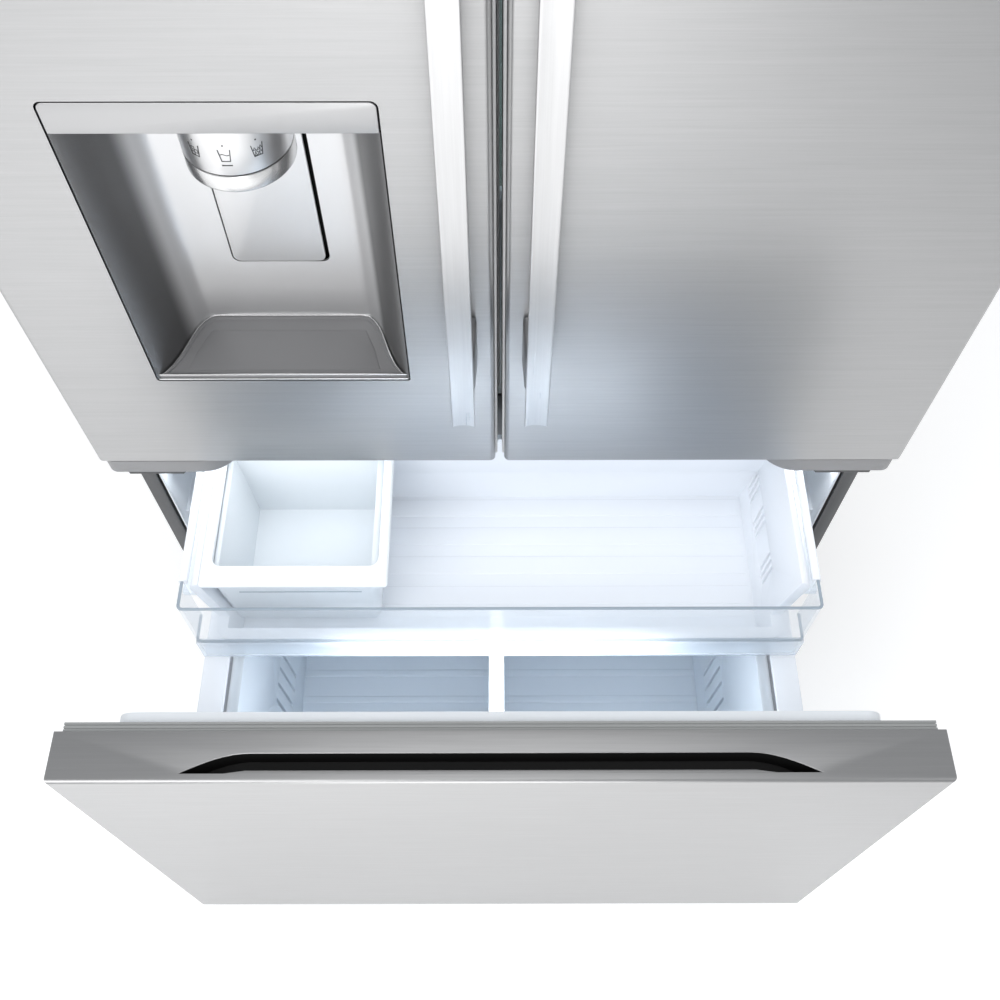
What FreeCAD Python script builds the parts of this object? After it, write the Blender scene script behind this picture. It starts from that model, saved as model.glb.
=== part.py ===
"""French door refrigerator with a pull-out freezer drawer, one STEP file per sub-part.

Construction frame, in millimetres: +Z up from the floor, X to the right, +Y to the back.
Y = 0 is the front face of the closed doors. The freezer drawer stands open by DRAWER_OPEN, and
the inner drawer has come part of the way with it. save() shifts everything so that the origin
ends at the floor, in the middle of the footprint.
"""
import FreeCAD, Part
import os

V = FreeCAD.Vector

# ---- driving dimensions -------------------------------------------------------------
HALF_WIDTH = 454.0          # cabinet and doors
CABINET_DEPTH = 660.0
CABINET_TOP = 1750.0
CABINET_BOTTOM = 34.0
REAR_FITTINGS = 11.0        # how far the inlet valve stands out of the back

DOOR_BOTTOM = 760.0
DOOR_TOP = 1752.0
DOOR_GAP = 10.0             # between the two doors
DOOR_SHELL = 53.5           # depth of a door without its gasket
GASKET = 10.2               # height of the soft seal
SEAL_GAP = 0.3              # seal to flange, so that nothing rubs
SHEET = 1.2                 # steel skin
EDGE_RADIUS = 6.0           # front vertical edges
MOULDING = 2.5              # plastic wall

DRAWER_BOTTOM = 65.0
DRAWER_TOP = 724.0
DRAWER_OPEN = 356.5         # freezer drawer travel shown at rest

HINGE_X = 434.0
HINGE_Y = 30.0
PIN_RADIUS = 5.0
RUNNING_FIT = 0.05

FLAP_PIVOT_X = -28.0
FLAP_PIVOT_Y = 72.0
FLAP_PIN = 2.5
FLAP_BOTTOM, FLAP_TOP = 812.0, 1702.0

RECESS_LEFT, RECESS_RIGHT = -346.0, -90.0
RECESS_BOTTOM, RECESS_CEILING, RECESS_TOP = 909.5, 1221.0, 1251.0
RECESS_DEPTH = 83.0
DRUM_X, DRUM_Y, DRUM_RADIUS = -214.0, 46.0, 46.0
DRUM_BACK = 73.0
DRUM_BOTTOM, DRUM_BAND = 1161.0, 13.0
PADDLE_HALF_WIDTH = 45.0
PADDLE_BOTTOM = 998.0

DIKE_OUTER_X, DIKE_INNER_X = -412.0, -46.0      # raised frame on the inside of a door
DIKE_BOTTOM, DIKE_TOP = 806.0, 1708.0
DIKE_BACK = 90.0
DIKE_WALL = 12.0

HANDLE_OUTER, HANDLE_INNER = 47.0, 24.5
HANDLE_FRONT = -55.0
HANDLE_THICKNESS = 12.0
HANDLE_BOTTOM, HANDLE_TOP = 906.0, 1625.0

MULLION_BOTTOM, MULLION_TOP = 716.0, 796.0
OPENING_HALF = 436.0        # freezer mouth
FREEZER_BOTTOM = 92.0
FRIDGE_CEILING = 1722.0
LINER_BACK = 640.0
LINER = 3.0
MACHINE_TOP = 300.0         # machine compartment, low at the back
MACHINE_FRONT = 520.0
LEDGE_TOP = 505.0           # the freezer narrows below this height
LEDGE_HALF = 374.0
LEDGE_FRONT = 81.0

SLOT_FRONT, SLOT_BACK = 10.0, 30.0              # finger slot in the top of the drawer front
SLOT_FRONT_HALF, SLOT_BACK_HALF = 321.0, 252.0
POCKET_DEPTH = 34.0

BASKET_TOP, BASKET_BOTTOM = 520.0, 122.0
BASKET_HALF, BASKET_RIM_HALF = 341.0, 372.0
BASKET_BACK = 75.0

TRAY_TOP, TRAY_FLOOR = 665.0, 535.0
TRAY_BACK = 100.0
TRAY_RIM_HALF, TRAY_TOP_HALF, TRAY_FLOOR_HALF = 373.0, 361.0, 333.0
CLEAR_FRONT = -145.0
CLEAR_HALF, CLEAR_TOP, CLEAR_BOTTOM = 368.0, 672.0, 578.0

SHELF_LEVELS = (1190.0, 1410.0)
CRISPER_LID = 985.0
SHELF_FRONT, SHELF_BACK = 190.0, 600.0
CRISPER_FRONT, CRISPER_BACK = 200.0, 580.0
DOOR_BIN_BACK, DOOR_BIN_HEIGHT = 166.0, 95.0
RIGHT_BIN_LEVELS = (860.0, 1080.0, 1300.0, 1490.0)
LEFT_BIN_LEVELS = (1300.0, 1490.0)

ROLLER_RADIUS, ROLLER_AXLE, ROLLER_Y = 19.0, 4.0, 660.0
FOOT_RADIUS, FOOT_X, FOOT_Y = 20.0, 427.0, 101.0
RAIL_BOTTOM = 12.0

VALVE_X, VALVE_Z = -330.0, 140.0
VALVE_BORE, VALVE_BORE_LENGTH, VALVE_COLLAR = 3.2, 14.0, 9.0
INLET_X, INLET_Z, INLET_HALF_X, INLET_HALF_Z = -210.0, 140.0, 17.0, 13.0

# ---- worked out from the above ------------------------------------------------------
FLANGE_Y = DOOR_SHELL + GASKET + SEAL_GAP
FRAME_BACK = FLANGE_Y + 3.0
CABINET_BACK = FLANGE_Y + CABINET_DEPTH
FRONT_MOST = -DRAWER_OPEN
BACK_MOST = CABINET_BACK + REAR_FITTINGS
ORIGIN_Y = (FRONT_MOST + BACK_MOST) / 2
DOOR_EDGE = DOOR_GAP / 2


# ---- helpers ------------------------------------------------------------------------
def block(x0, x1, y0, y1, z0, z1):
    return Part.makeBox(x1 - x0, y1 - y0, z1 - z0, V(x0, y0, z0))


def rounded(shape, radius, chosen):
    """Fillet the edges for which chosen(edge centre, edge direction) is true."""
    edges = []
    for edge in shape.Edges:
        direction = edge.tangentAt(edge.FirstParameter)
        if chosen(edge.CenterOfMass, direction):
            edges.append(edge)
    return shape.makeFillet(radius, edges)


def rounded_block(x0, x1, y0, y1, z0, z1, radius, along="z"):
    """A block with the four edges that run along one axis rounded."""
    axis = {"x": V(1, 0, 0), "y": V(0, 1, 0), "z": V(0, 0, 1)}[along]
    shape = block(x0, x1, y0, y1, z0, z1)
    return rounded(shape, radius, lambda centre, direction: abs(direction.dot(axis)) > 0.99)


def rectangle_z(x0, x1, y0, y1, z):
    return Part.makePolygon([V(x0, y0, z), V(x1, y0, z), V(x1, y1, z), V(x0, y1, z), V(x0, y0, z)])


def rectangle_y(x0, x1, z0, z1, y):
    return Part.makePolygon([V(x0, y, z0), V(x1, y, z0), V(x1, y, z1), V(x0, y, z1), V(x0, y, z0)])


def tapered(lower, upper):
    return Part.makeLoft([lower, upper], True, True)


def prism(points, height):
    """Flat outline of corner points, extruded upwards."""
    return Part.Face(Part.makePolygon(points + [points[0]])).extrude(V(0, 0, height))


def ring(x0, x1, y0, y1, z0, z1, width):
    """Rectangular frame that lies in the XZ plane."""
    return block(x0, x1, y0, y1, z0, z1).cut(
        block(x0 + width, x1 - width, y0 - 1, y1 + 1, z0 + width, z1 - width))


def open_box(x0, x1, y0, y1, z0, z1, wall):
    """Box that is open at the top."""
    return block(x0, x1, y0, y1, z0, z1).cut(
        block(x0 + wall, x1 - wall, y0 + wall, y1 - wall, z0 + wall, z1 + 1))


def mirrored(shape):
    return shape.mirror(V(0, 0, 0), V(1, 0, 0))


def pair(shape):
    return [shape, mirrored(shape)]


def moved_y(shapes, distance):
    result = []
    for shape in shapes:
        copy = shape.copy()
        copy.translate(V(0, distance, 0))
        result.append(copy)
    return result


def save(name, shapes):
    solids = moved_y(shapes, -ORIGIN_Y)
    solids = [solid for shape in solids for solid in shape.removeSplitter().Solids]
    result = solids[0] if len(solids) == 1 else Part.makeCompound(solids)
    result.exportStep("parts/" + name + ".step")


# ---- cabinet ------------------------------------------------------------------------
def cabinet_shell():
    wall = 2.0
    outer = block(-HALF_WIDTH, HALF_WIDTH, FRAME_BACK, CABINET_BACK - wall, CABINET_BOTTOM, CABINET_TOP)
    inner = block(-HALF_WIDTH + wall, HALF_WIDTH - wall, FRAME_BACK - 1, CABINET_BACK,
                  CABINET_BOTTOM - 1, CABINET_TOP - wall)
    return outer.cut(inner)


def front_frame():
    plate = block(-HALF_WIDTH, HALF_WIDTH, FLANGE_Y, FRAME_BACK, CABINET_BOTTOM, CABINET_TOP)
    fridge_mouth = block(-OPENING_HALF, OPENING_HALF, FLANGE_Y - 1, FRAME_BACK + 1,
                         MULLION_TOP, FRIDGE_CEILING)
    freezer_mouth = block(-OPENING_HALF, OPENING_HALF, FLANGE_Y - 1, FRAME_BACK + 1,
                          FREEZER_BOTTOM, MULLION_BOTTOM)
    return plate.cut(fridge_mouth).cut(freezer_mouth)


def center_mullion():
    depth = 56.0
    return block(-HALF_WIDTH + 4, HALF_WIDTH - 4, FRAME_BACK, FRAME_BACK + depth,
                 MULLION_BOTTOM + LINER, MULLION_TOP - LINER)


def fridge_liner():
    half = OPENING_HALF - 2
    outer = block(-half, half, FRAME_BACK, LINER_BACK, MULLION_TOP - LINER, FRIDGE_CEILING + LINER)
    inner = block(-half + LINER, half - LINER, FRAME_BACK - 1, LINER_BACK - LINER,
                  MULLION_TOP, FRIDGE_CEILING)
    return outer.cut(inner)


def freezer_profile(grow, front):
    """Inside of the freezer: wide at the top, narrower beside the basket, stepped at the back."""
    upper = block(-OPENING_HALF + 5 - grow, OPENING_HALF - 5 + grow, front, LINER_BACK - LINER + grow,
                  LEDGE_TOP - grow, MULLION_BOTTOM + grow)
    mouth = block(-OPENING_HALF + 5 - grow, OPENING_HALF - 5 + grow, front, LEDGE_FRONT + grow,
                  FREEZER_BOTTOM - grow, MULLION_BOTTOM)
    lower = block(-LEDGE_HALF - grow, LEDGE_HALF + grow, front, MACHINE_FRONT + grow,
                  FREEZER_BOTTOM - grow, MULLION_BOTTOM)
    behind = block(-LEDGE_HALF - grow, LEDGE_HALF + grow, front, LINER_BACK - LINER + grow,
                   MACHINE_TOP - grow, MULLION_BOTTOM)
    return upper.fuse([mouth, lower, behind])


def freezer_liner():
    outer = freezer_profile(LINER, FRAME_BACK)
    inner = freezer_profile(0.0, FRAME_BACK - 1)
    return outer.cut(inner)


def rear_panel():
    return block(-HALF_WIDTH, HALF_WIDTH, CABINET_BACK - 2, CABINET_BACK, MACHINE_TOP, CABINET_TOP)


def machine_cover():
    cover = block(-HALF_WIDTH + 3, HALF_WIDTH - 3, CABINET_BACK - 2, CABINET_BACK,
                  CABINET_BOTTOM + 6, MACHINE_TOP - 1)
    slot_length, slot_height, pitch = 110.0, 6.0, 16.0
    for x in (20.0, 212.0):
        for row in range(9):
            z = 90.0 + row * pitch
            cover = cover.cut(block(x, x + slot_length, CABINET_BACK - 3, CABINET_BACK + 1,
                                    z, z + slot_height))
    valve_hole = Part.makeCylinder(VALVE_COLLAR + 0.5, 4, V(VALVE_X, CABINET_BACK - 3, VALVE_Z), V(0, 1, 0))
    inlet_hole = block(INLET_X - INLET_HALF_X, INLET_X + INLET_HALF_X, CABINET_BACK - 3, CABINET_BACK + 1,
                       INLET_Z - INLET_HALF_Z, INLET_Z + INLET_HALF_Z)
    return cover.cut(valve_hole).cut(inlet_hole)


def inlet_valve():
    body = block(VALVE_X - 22, VALVE_X + 22, CABINET_BACK - 40, CABINET_BACK - 2, VALVE_Z - 20, VALVE_Z + 20)
    collar = Part.makeCylinder(VALVE_COLLAR, 2 + REAR_FITTINGS, V(VALVE_X, CABINET_BACK - 2, VALVE_Z), V(0, 1, 0))
    bore = Part.makeCylinder(VALVE_BORE, VALVE_BORE_LENGTH, V(VALVE_X, BACK_MOST - VALVE_BORE_LENGTH, VALVE_Z),
                             V(0, 1, 0))
    return body.fuse(collar).cut(bore)


def power_inlet():
    body = block(INLET_X - INLET_HALF_X, INLET_X + INLET_HALF_X, CABINET_BACK - 30, CABINET_BACK + 2,
                 INLET_Z - INLET_HALF_Z, INLET_Z + INLET_HALF_Z)
    cavity = block(INLET_X - 12.5, INLET_X + 12.5, CABINET_BACK - 15, CABINET_BACK + 3,
                   INLET_Z - 8.5, INLET_Z + 8.5)
    socket = body.cut(cavity)
    for x, z in ((-7, -2), (7, -2), (0, 3)):
        pin = block(INLET_X + x - 1, INLET_X + x + 1, CABINET_BACK - 16, CABINET_BACK - 3,
                    INLET_Z + z - 2, INLET_Z + z + 2)
        socket = socket.fuse(pin)
    return socket


def compressor():
    radius, height = 74.0, 150.0
    base = V(210, 625, CABINET_BOTTOM + 22)
    can = Part.makeCylinder(radius, height, base)
    can = rounded(can, 30, lambda centre, direction: abs(direction.z) < 0.01 and centre.z > base.z + 1)
    feet = block(base.x - 95, base.x + 95, base.y - 60, base.y + 60, CABINET_BOTTOM + 3, base.z)
    return can.fuse(feet)


def machine_base():
    """Plate across the rails that carries the compressor, cut away around the rollers."""
    wide = block(-415, 415, MACHINE_FRONT + 25, ROLLER_Y - 25, CABINET_BOTTOM - 3, CABINET_BOTTOM + 3)
    narrow = block(-372, 372, ROLLER_Y - 25, CABINET_BACK - 6, CABINET_BOTTOM - 3, CABINET_BOTTOM + 3)
    return wide.fuse(narrow)


def base_rails():
    rail = block(-440, -415, FRAME_BACK + 10, CABINET_BACK - 6, RAIL_BOTTOM, CABINET_BOTTOM)
    axle = Part.makeCylinder(ROLLER_AXLE, 40, V(-415, ROLLER_Y, ROLLER_RADIUS), V(1, 0, 0))
    return pair(rail.fuse(axle))


def rear_rollers():
    outline = Part.makeCylinder(ROLLER_RADIUS, 22, V(-404, ROLLER_Y, ROLLER_RADIUS), V(1, 0, 0))
    bore = Part.makeCylinder(ROLLER_AXLE + RUNNING_FIT, 24, V(-405, ROLLER_Y, ROLLER_RADIUS), V(1, 0, 0))
    return pair(outline.cut(bore))


def front_feet():
    pad_height = 7.0
    pad = Part.makeCylinder(FOOT_RADIUS, pad_height, V(-FOOT_X, FOOT_Y, 0))
    stud = Part.makeCylinder(6, RAIL_BOTTOM - pad_height, V(-FOOT_X, FOOT_Y, pad_height))
    return pair(pad.fuse(stud))


def base_grille():
    grille = block(-440, 440, FLANGE_Y + 4, FRAME_BACK + 10, 14, 58)
    grille = grille.cut(block(-436, 436, FLANGE_Y + 6, FRAME_BACK + 11, 18, 54))
    for index in range(-8, 9):
        x = index * 50.0
        grille = grille.cut(block(x - 19, x + 19, FLANGE_Y + 3, FLANGE_Y + 7, 26, 30))
        grille = grille.cut(block(x - 19, x + 19, FLANGE_Y + 3, FLANGE_Y + 7, 40, 44))
    return grille


def top_hinge():
    plate_bottom = DOOR_TOP + 2
    plate = rounded_block(-450, -402, 12, 168, plate_bottom, plate_bottom + 5, 8)
    base = block(-448, -404, FLANGE_Y + 14, 166, CABINET_TOP, plate_bottom)
    pin = Part.makeCylinder(PIN_RADIUS, 19, V(-HINGE_X, HINGE_Y, DOOR_TOP - 17))
    return plate.fuse([base, pin])


def top_hinge_cover():
    bottom, top = DOOR_TOP + 1.5, DOOR_TOP + 33
    cover = rounded_block(-453, -380, 6, 190, bottom, top, 12)
    cover = rounded(cover, 6, lambda centre, direction: abs(centre.z - top) < 0.01)
    inside = block(-450.5, -382.5, 8.5, 187.5, bottom - 1, top - 14)
    return cover.cut(inside)


def middle_hinge():
    """Steel plate under the cover, with the pin that carries the door."""
    bottom, top = 727.5, 736.0
    outline = [V(-438, FLANGE_Y, bottom), V(-438, 14, bottom), V(-428, 3, bottom), V(-366, 3, bottom),
               V(-356, 14, bottom), V(-356, FLANGE_Y, bottom)]
    plate = prism(outline, top - bottom)
    pin = Part.makeCylinder(PIN_RADIUS, DOOR_BOTTOM + 16 - top + 1, V(-HINGE_X, HINGE_Y, top - 1))
    return plate.fuse(pin)


def middle_hinge_cover():
    bottom, top = 736.2, 758.6
    corner, sweep_in = 12.0, 299.0
    edges = [
        Part.makeLine(V(-450, FLANGE_Y, bottom), V(-450, corner, bottom)),
        Part.Arc(V(-450, corner, bottom), V(-446.5, 3.5, bottom), V(-438, 0, bottom)).toShape(),
        Part.makeLine(V(-438, 0, bottom), V(-347, 0, bottom)),
        Part.Arc(V(-347, 0, bottom), V(-318, 7, bottom), V(-sweep_in, 30, bottom)).toShape(),
        Part.makeLine(V(-sweep_in, 30, bottom), V(-sweep_in, FLANGE_Y, bottom)),
        Part.makeLine(V(-sweep_in, FLANGE_Y, bottom), V(-450, FLANGE_Y, bottom)),
    ]
    cover = Part.Face(Part.Wire(edges)).extrude(V(0, 0, top - bottom))
    return cover.cut(Part.makeCylinder(PIN_RADIUS + 1.5, 40, V(-HINGE_X, HINGE_Y, bottom - 5)))


def shelf_glass():
    half = OPENING_HALF - 12
    panes = []
    for level in SHELF_LEVELS:
        panes += pair(block(-half, -3, SHELF_FRONT, SHELF_BACK, level, level + 4))
    panes.append(block(-half, half, SHELF_FRONT, SHELF_BACK, CRISPER_LID, CRISPER_LID + 4))
    return panes


def shelf_trims():
    half = OPENING_HALF - 12
    trims = []
    for level in SHELF_LEVELS:
        trims += pair(block(-half, -3, SHELF_FRONT - 8, SHELF_FRONT, level - 6, level + 6))
    trims.append(block(-half, half, SHELF_FRONT - 8, SHELF_FRONT, CRISPER_LID - 8, CRISPER_LID + 6))
    for level in SHELF_LEVELS + (CRISPER_LID,):
        side = block(-OPENING_HALF + 5, -half + 12, SHELF_FRONT, SHELF_BACK, level - 10, level)
        trims += pair(side)
    return trims


def crisper(left, right):
    body = open_box(left, right, CRISPER_FRONT, CRISPER_BACK, MULLION_TOP + 0.3, CRISPER_LID - 14, 3)
    grip = block(left + 20, right - 20, CRISPER_FRONT - 10, CRISPER_FRONT, CRISPER_LID - 40, CRISPER_LID - 18)
    groove = block(left + 22, right - 22, CRISPER_FRONT - 7, CRISPER_FRONT, CRISPER_LID - 41, CRISPER_LID - 22)
    return body.fuse(grip.cut(groove))


def air_duct():
    return rounded_block(-95, 95, LINER_BACK - 24, LINER_BACK - LINER, 1010, 1690, 8, "y")


def evaporator_cover():
    cover = block(-350, 350, LINER_BACK - 20, LINER_BACK - LINER, 320, 700)
    for index in range(5):
        x = -200.0 + index * 100
        cover = cover.cut(rounded_block(x - 34, x + 34, LINER_BACK - 22, LINER_BACK - 10, 640, 652, 4, "y"))
    return cover


def slide_outer_member():
    z = 462.0
    outer = block(-LEDGE_HALF, -LEDGE_HALF + 9, 92, 512, z - 22, z + 22)
    groove = block(-LEDGE_HALF + 2, -LEDGE_HALF + 10, 91, 513, z - 18, z + 18)
    return outer.cut(groove)


def slide_middle_member():
    z = 462.0
    web = block(-LEDGE_HALF + 2.5, -LEDGE_HALF + 12, 100, 508, z - 17.5, z + 17.5)
    groove = block(-LEDGE_HALF + 5, -LEDGE_HALF + 13, 99, 509, z - 13.5, z + 13.5)
    return web.cut(groove)


def slide_inner_member():
    """On the basket's side, in the closed position of the drawer."""
    z = 462.0
    side = DRAWER_OPEN - 278
    bar = block(-LEDGE_HALF + 5.5, -BASKET_HALF, side + 8, BASKET_BACK + DRAWER_OPEN, z - 13, z + 13)
    return bar


def inner_drawer_rail():
    rail = block(-OPENING_HALF + 5, -375.5, 92, 570, 596, 630)
    channel = block(-381.5, -375, 91, 571, 607.5, 618.5)
    return rail.cut(channel)


# ---- doors --------------------------------------------------------------------------
def door_skin():
    outer = block(-HALF_WIDTH, -DOOR_EDGE, 0, DOOR_SHELL, DOOR_BOTTOM, DOOR_TOP)
    outer = rounded(outer, EDGE_RADIUS, lambda centre, direction: abs(direction.z) > 0.99 and centre.y < 1)
    inner = block(-HALF_WIDTH + SHEET, -DOOR_EDGE - SHEET, SHEET, DOOR_SHELL + 20, DOOR_BOTTOM - 5, DOOR_TOP + 5)
    inner = rounded(inner, EDGE_RADIUS - SHEET,
                    lambda centre, direction: abs(direction.z) > 0.99 and centre.y < SHEET + 1)
    return outer.cut(inner)


def door_end_cap(z0, z1):
    radius = EDGE_RADIUS - SHEET
    cap = block(-HALF_WIDTH + SHEET, -DOOR_EDGE - SHEET, SHEET, DOOR_SHELL - MOULDING, z0, z1)
    cap = rounded(cap, radius, lambda centre, direction: abs(direction.z) > 0.99 and centre.y < SHEET + 1)
    hole = Part.makeCylinder(PIN_RADIUS + RUNNING_FIT, z1 - z0 + 2, V(-HINGE_X, HINGE_Y, z0 - 1))
    return cap.cut(hole)


def door_end_caps():
    height = 20.0
    return [door_end_cap(DOOR_BOTTOM, DOOR_BOTTOM + height), door_end_cap(DOOR_TOP - height, DOOR_TOP)]


def door_liner():
    panel = block(-HALF_WIDTH + SHEET, -DOOR_EDGE - SHEET, DOOR_SHELL - MOULDING, DOOR_SHELL,
                  DOOR_BOTTOM, DOOR_TOP)
    dike = ring(DIKE_OUTER_X, DIKE_INNER_X, DOOR_SHELL, DIKE_BACK, DIKE_BOTTOM, DIKE_TOP, DIKE_WALL)
    return panel.fuse(dike)


def flap_lugs():
    """Two lugs with pins, above and below the flap between the doors."""
    lug = block(FLAP_PIVOT_X - 6, -24.3, DOOR_SHELL, FLAP_PIVOT_Y + 5, 0, 7)
    top = lug.copy()
    top.translate(V(0, 0, FLAP_TOP + 0.5))
    bottom = lug.copy()
    bottom.translate(V(0, 0, FLAP_BOTTOM - 7.5))
    pins = [Part.makeCylinder(FLAP_PIN, 8, V(FLAP_PIVOT_X, FLAP_PIVOT_Y, FLAP_TOP - 6)),
            Part.makeCylinder(FLAP_PIN, 8, V(FLAP_PIVOT_X, FLAP_PIVOT_Y, FLAP_BOTTOM - 2))]
    return [top, bottom] + pins


def left_door_liner():
    bulge_outer = block(-366, -70, DOOR_SHELL - MOULDING, 104, 880, 1275)
    bulge_inner = block(-363, -73, DOOR_SHELL - MOULDING - 1, 101, 883, 1272)
    liner = door_liner().fuse([bulge_outer] + flap_lugs())
    return liner.cut(bulge_inner)


def door_gasket():
    return ring(-432, -2, DOOR_SHELL, DOOR_SHELL + GASKET, DOOR_BOTTOM + 4, DOOR_TOP - 6, 20)


def door_bin(z):
    left, right = DIKE_OUTER_X + DIKE_WALL, DIKE_INNER_X - DIKE_WALL
    return open_box(left, right, DOOR_SHELL, DOOR_BIN_BACK, z, z + DOOR_BIN_HEIGHT, 3)


def handle_bar():
    bar = block(-HANDLE_OUTER, -HANDLE_INNER, HANDLE_FRONT, HANDLE_FRONT + HANDLE_THICKNESS,
                HANDLE_BOTTOM, HANDLE_TOP)
    return rounded(bar, 1.2, lambda centre, direction: abs(direction.z) > 0.99)


def handle_brackets():
    brackets = []
    for z0 in (HANDLE_BOTTOM + 34, HANDLE_TOP - 104):
        bracket = rounded_block(-HANDLE_OUTER + 3, -HANDLE_INNER + 3, HANDLE_FRONT + HANDLE_THICKNESS, 0,
                                z0, z0 + 70, 3, "y")
        brackets.append(bracket)
    return brackets


# ---- dispenser ----------------------------------------------------------------------
def recess_hole():
    return block(RECESS_LEFT, RECESS_RIGHT, -1, DOOR_SHELL, RECESS_BOTTOM, RECESS_TOP)


def dispenser_housing():
    wall, back_inset = 3.0, 36.0
    outer = tapered(rectangle_y(RECESS_LEFT, RECESS_RIGHT, RECESS_BOTTOM, RECESS_TOP, 0),
                    rectangle_y(RECESS_LEFT + back_inset - wall, RECESS_RIGHT - back_inset + wall,
                                RECESS_BOTTOM, RECESS_TOP, RECESS_DEPTH + wall))
    cavity = tapered(rectangle_y(RECESS_LEFT + wall, RECESS_RIGHT - wall,
                                 RECESS_BOTTOM + wall, RECESS_CEILING, -0.01),
                     rectangle_y(RECESS_LEFT + back_inset, RECESS_RIGHT - back_inset,
                                 RECESS_BOTTOM + wall, RECESS_CEILING, RECESS_DEPTH))
    pocket_half = PADDLE_HALF_WIDTH + 5
    pocket_wall = block(DRUM_X - pocket_half - 2, DRUM_X + pocket_half + 2, RECESS_DEPTH, 99,
                        PADDLE_BOTTOM - 10, RECESS_CEILING + 2)
    pocket = block(DRUM_X - pocket_half, DRUM_X + pocket_half, RECESS_DEPTH - 1, 97,
                   PADDLE_BOTTOM - 8, RECESS_CEILING)
    fascia_seat = block(RECESS_LEFT + wall, RECESS_RIGHT - wall, -1, 7, RECESS_CEILING, RECESS_TOP - wall)
    return outer.fuse(pocket_wall).cut(cavity).cut(pocket).cut(fascia_seat)


def dispenser_fascia():
    return block(RECESS_LEFT + 3.2, RECESS_RIGHT - 3.2, 0, 6.8, RECESS_CEILING, RECESS_TOP - 3.2)


def drum_piece(z0, z1, radius):
    disc = Part.makeCylinder(radius, z1 - z0, V(DRUM_X, DRUM_Y, z0))
    return disc.common(block(DRUM_X - 60, DRUM_X + 60, -20, DRUM_BACK, z0 - 1, z1 + 1))


def nozzle_drum():
    drum = drum_piece(DRUM_BOTTOM + DRUM_BAND + 1.2, RECESS_CEILING, DRUM_RADIUS)
    neck = drum_piece(DRUM_BOTTOM + DRUM_BAND, DRUM_BOTTOM + DRUM_BAND + 1.2, DRUM_RADIUS - 2)
    fascia_room = block(DRUM_X - 60, DRUM_X + 60, -20, 7, RECESS_CEILING - 0.1, RECESS_CEILING + 1)
    return drum.fuse(neck).cut(fascia_room)


def drum_band():
    band = drum_piece(DRUM_BOTTOM, DRUM_BOTTOM + DRUM_BAND, DRUM_RADIUS)
    outlet = Part.makeCone(20, 26, 9, V(DRUM_X, DRUM_Y, DRUM_BOTTOM + 9), V(0, 0, -1))
    water = Part.makeCylinder(3, 8, V(DRUM_X, DRUM_Y - 32, DRUM_BOTTOM - 1))
    return band.cut(outlet).cut(water)


def dispenser_paddle():
    top = RECESS_CEILING - 2
    paddle = rounded_block(DRUM_X - PADDLE_HALF_WIDTH, DRUM_X + PADDLE_HALF_WIDTH, 76, 81,
                           PADDLE_BOTTOM, top, 4, "y")
    return paddle


def drip_tray():
    z0 = RECESS_BOTTOM + 3.2
    z1 = z0 + 5
    slope = 36.0 / (RECESS_DEPTH + 3)
    front, back = 5.0, RECESS_DEPTH - 4
    points = [V(RECESS_LEFT + 6 + front * slope, front, z0), V(RECESS_RIGHT - 6 - front * slope, front, z0),
              V(RECESS_RIGHT - 6 - back * slope, back, z0), V(RECESS_LEFT + 6 + back * slope, back, z0)]
    tray = prism(points, z1 - z0)
    well = block(RECESS_LEFT + 44, RECESS_RIGHT - 44, front + 10, back - 10, z1 - 2.5, z1 + 1)
    return tray.cut(well)


# ---- flap between the doors ---------------------------------------------------------


def mullion_flap():
    flap = block(FLAP_PIVOT_X - 4, 0, FLANGE_Y + 0.5, FLANGE_Y + 15.5, FLAP_BOTTOM, FLAP_TOP)
    flap = rounded(flap, 2, lambda centre, direction: abs(direction.z) > 0.99)
    for z in (FLAP_BOTTOM - 1, FLAP_TOP - 8):
        flap = flap.cut(Part.makeCylinder(FLAP_PIN + RUNNING_FIT, 9, V(FLAP_PIVOT_X, FLAP_PIVOT_Y, z)))
    return flap


# ---- freezer drawer, modelled closed and saved open ---------------------------------


def pocket_slot(z0, height):
    """Finger slot in the top: straight front edge, shorter back edge, swept ends."""
    sweep_x, sweep_y = 285.0, 17.0
    edges = [
        Part.makeLine(V(-SLOT_FRONT_HALF, SLOT_FRONT, z0), V(SLOT_FRONT_HALF, SLOT_FRONT, z0)),
        Part.Arc(V(SLOT_FRONT_HALF, SLOT_FRONT, z0), V(sweep_x, sweep_y, z0),
                 V(SLOT_BACK_HALF, SLOT_BACK, z0)).toShape(),
        Part.makeLine(V(SLOT_BACK_HALF, SLOT_BACK, z0), V(-SLOT_BACK_HALF, SLOT_BACK, z0)),
        Part.Arc(V(-SLOT_BACK_HALF, SLOT_BACK, z0), V(-sweep_x, sweep_y, z0),
                 V(-SLOT_FRONT_HALF, SLOT_FRONT, z0)).toShape(),
    ]
    return Part.Face(Part.Wire(edges)).extrude(V(0, 0, height))


def drawer_skin():
    def front_edge(centre, direction):
        return abs(direction.y) < 0.01 and centre.y < SHEET + 1

    outer = block(-HALF_WIDTH, HALF_WIDTH, 0, DOOR_SHELL, DRAWER_BOTTOM, DRAWER_TOP)
    outer = rounded(outer, 5.0, front_edge)
    inner = block(-HALF_WIDTH + SHEET, HALF_WIDTH - SHEET, SHEET, DOOR_SHELL + 20,
                  DRAWER_BOTTOM + SHEET, DRAWER_TOP - SHEET)
    inner = rounded(inner, 5.0 - SHEET, front_edge)
    return outer.cut(inner).cut(pocket_slot(DRAWER_TOP - 10, 20))


def drawer_pocket():
    top = DRAWER_TOP - SHEET
    outer = block(-SLOT_FRONT_HALF - 5, SLOT_FRONT_HALF + 5, SLOT_FRONT - 3, SLOT_BACK + 3,
                  top - POCKET_DEPTH, top)
    return outer.cut(pocket_slot(top - POCKET_DEPTH + 2.5, POCKET_DEPTH))


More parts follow.
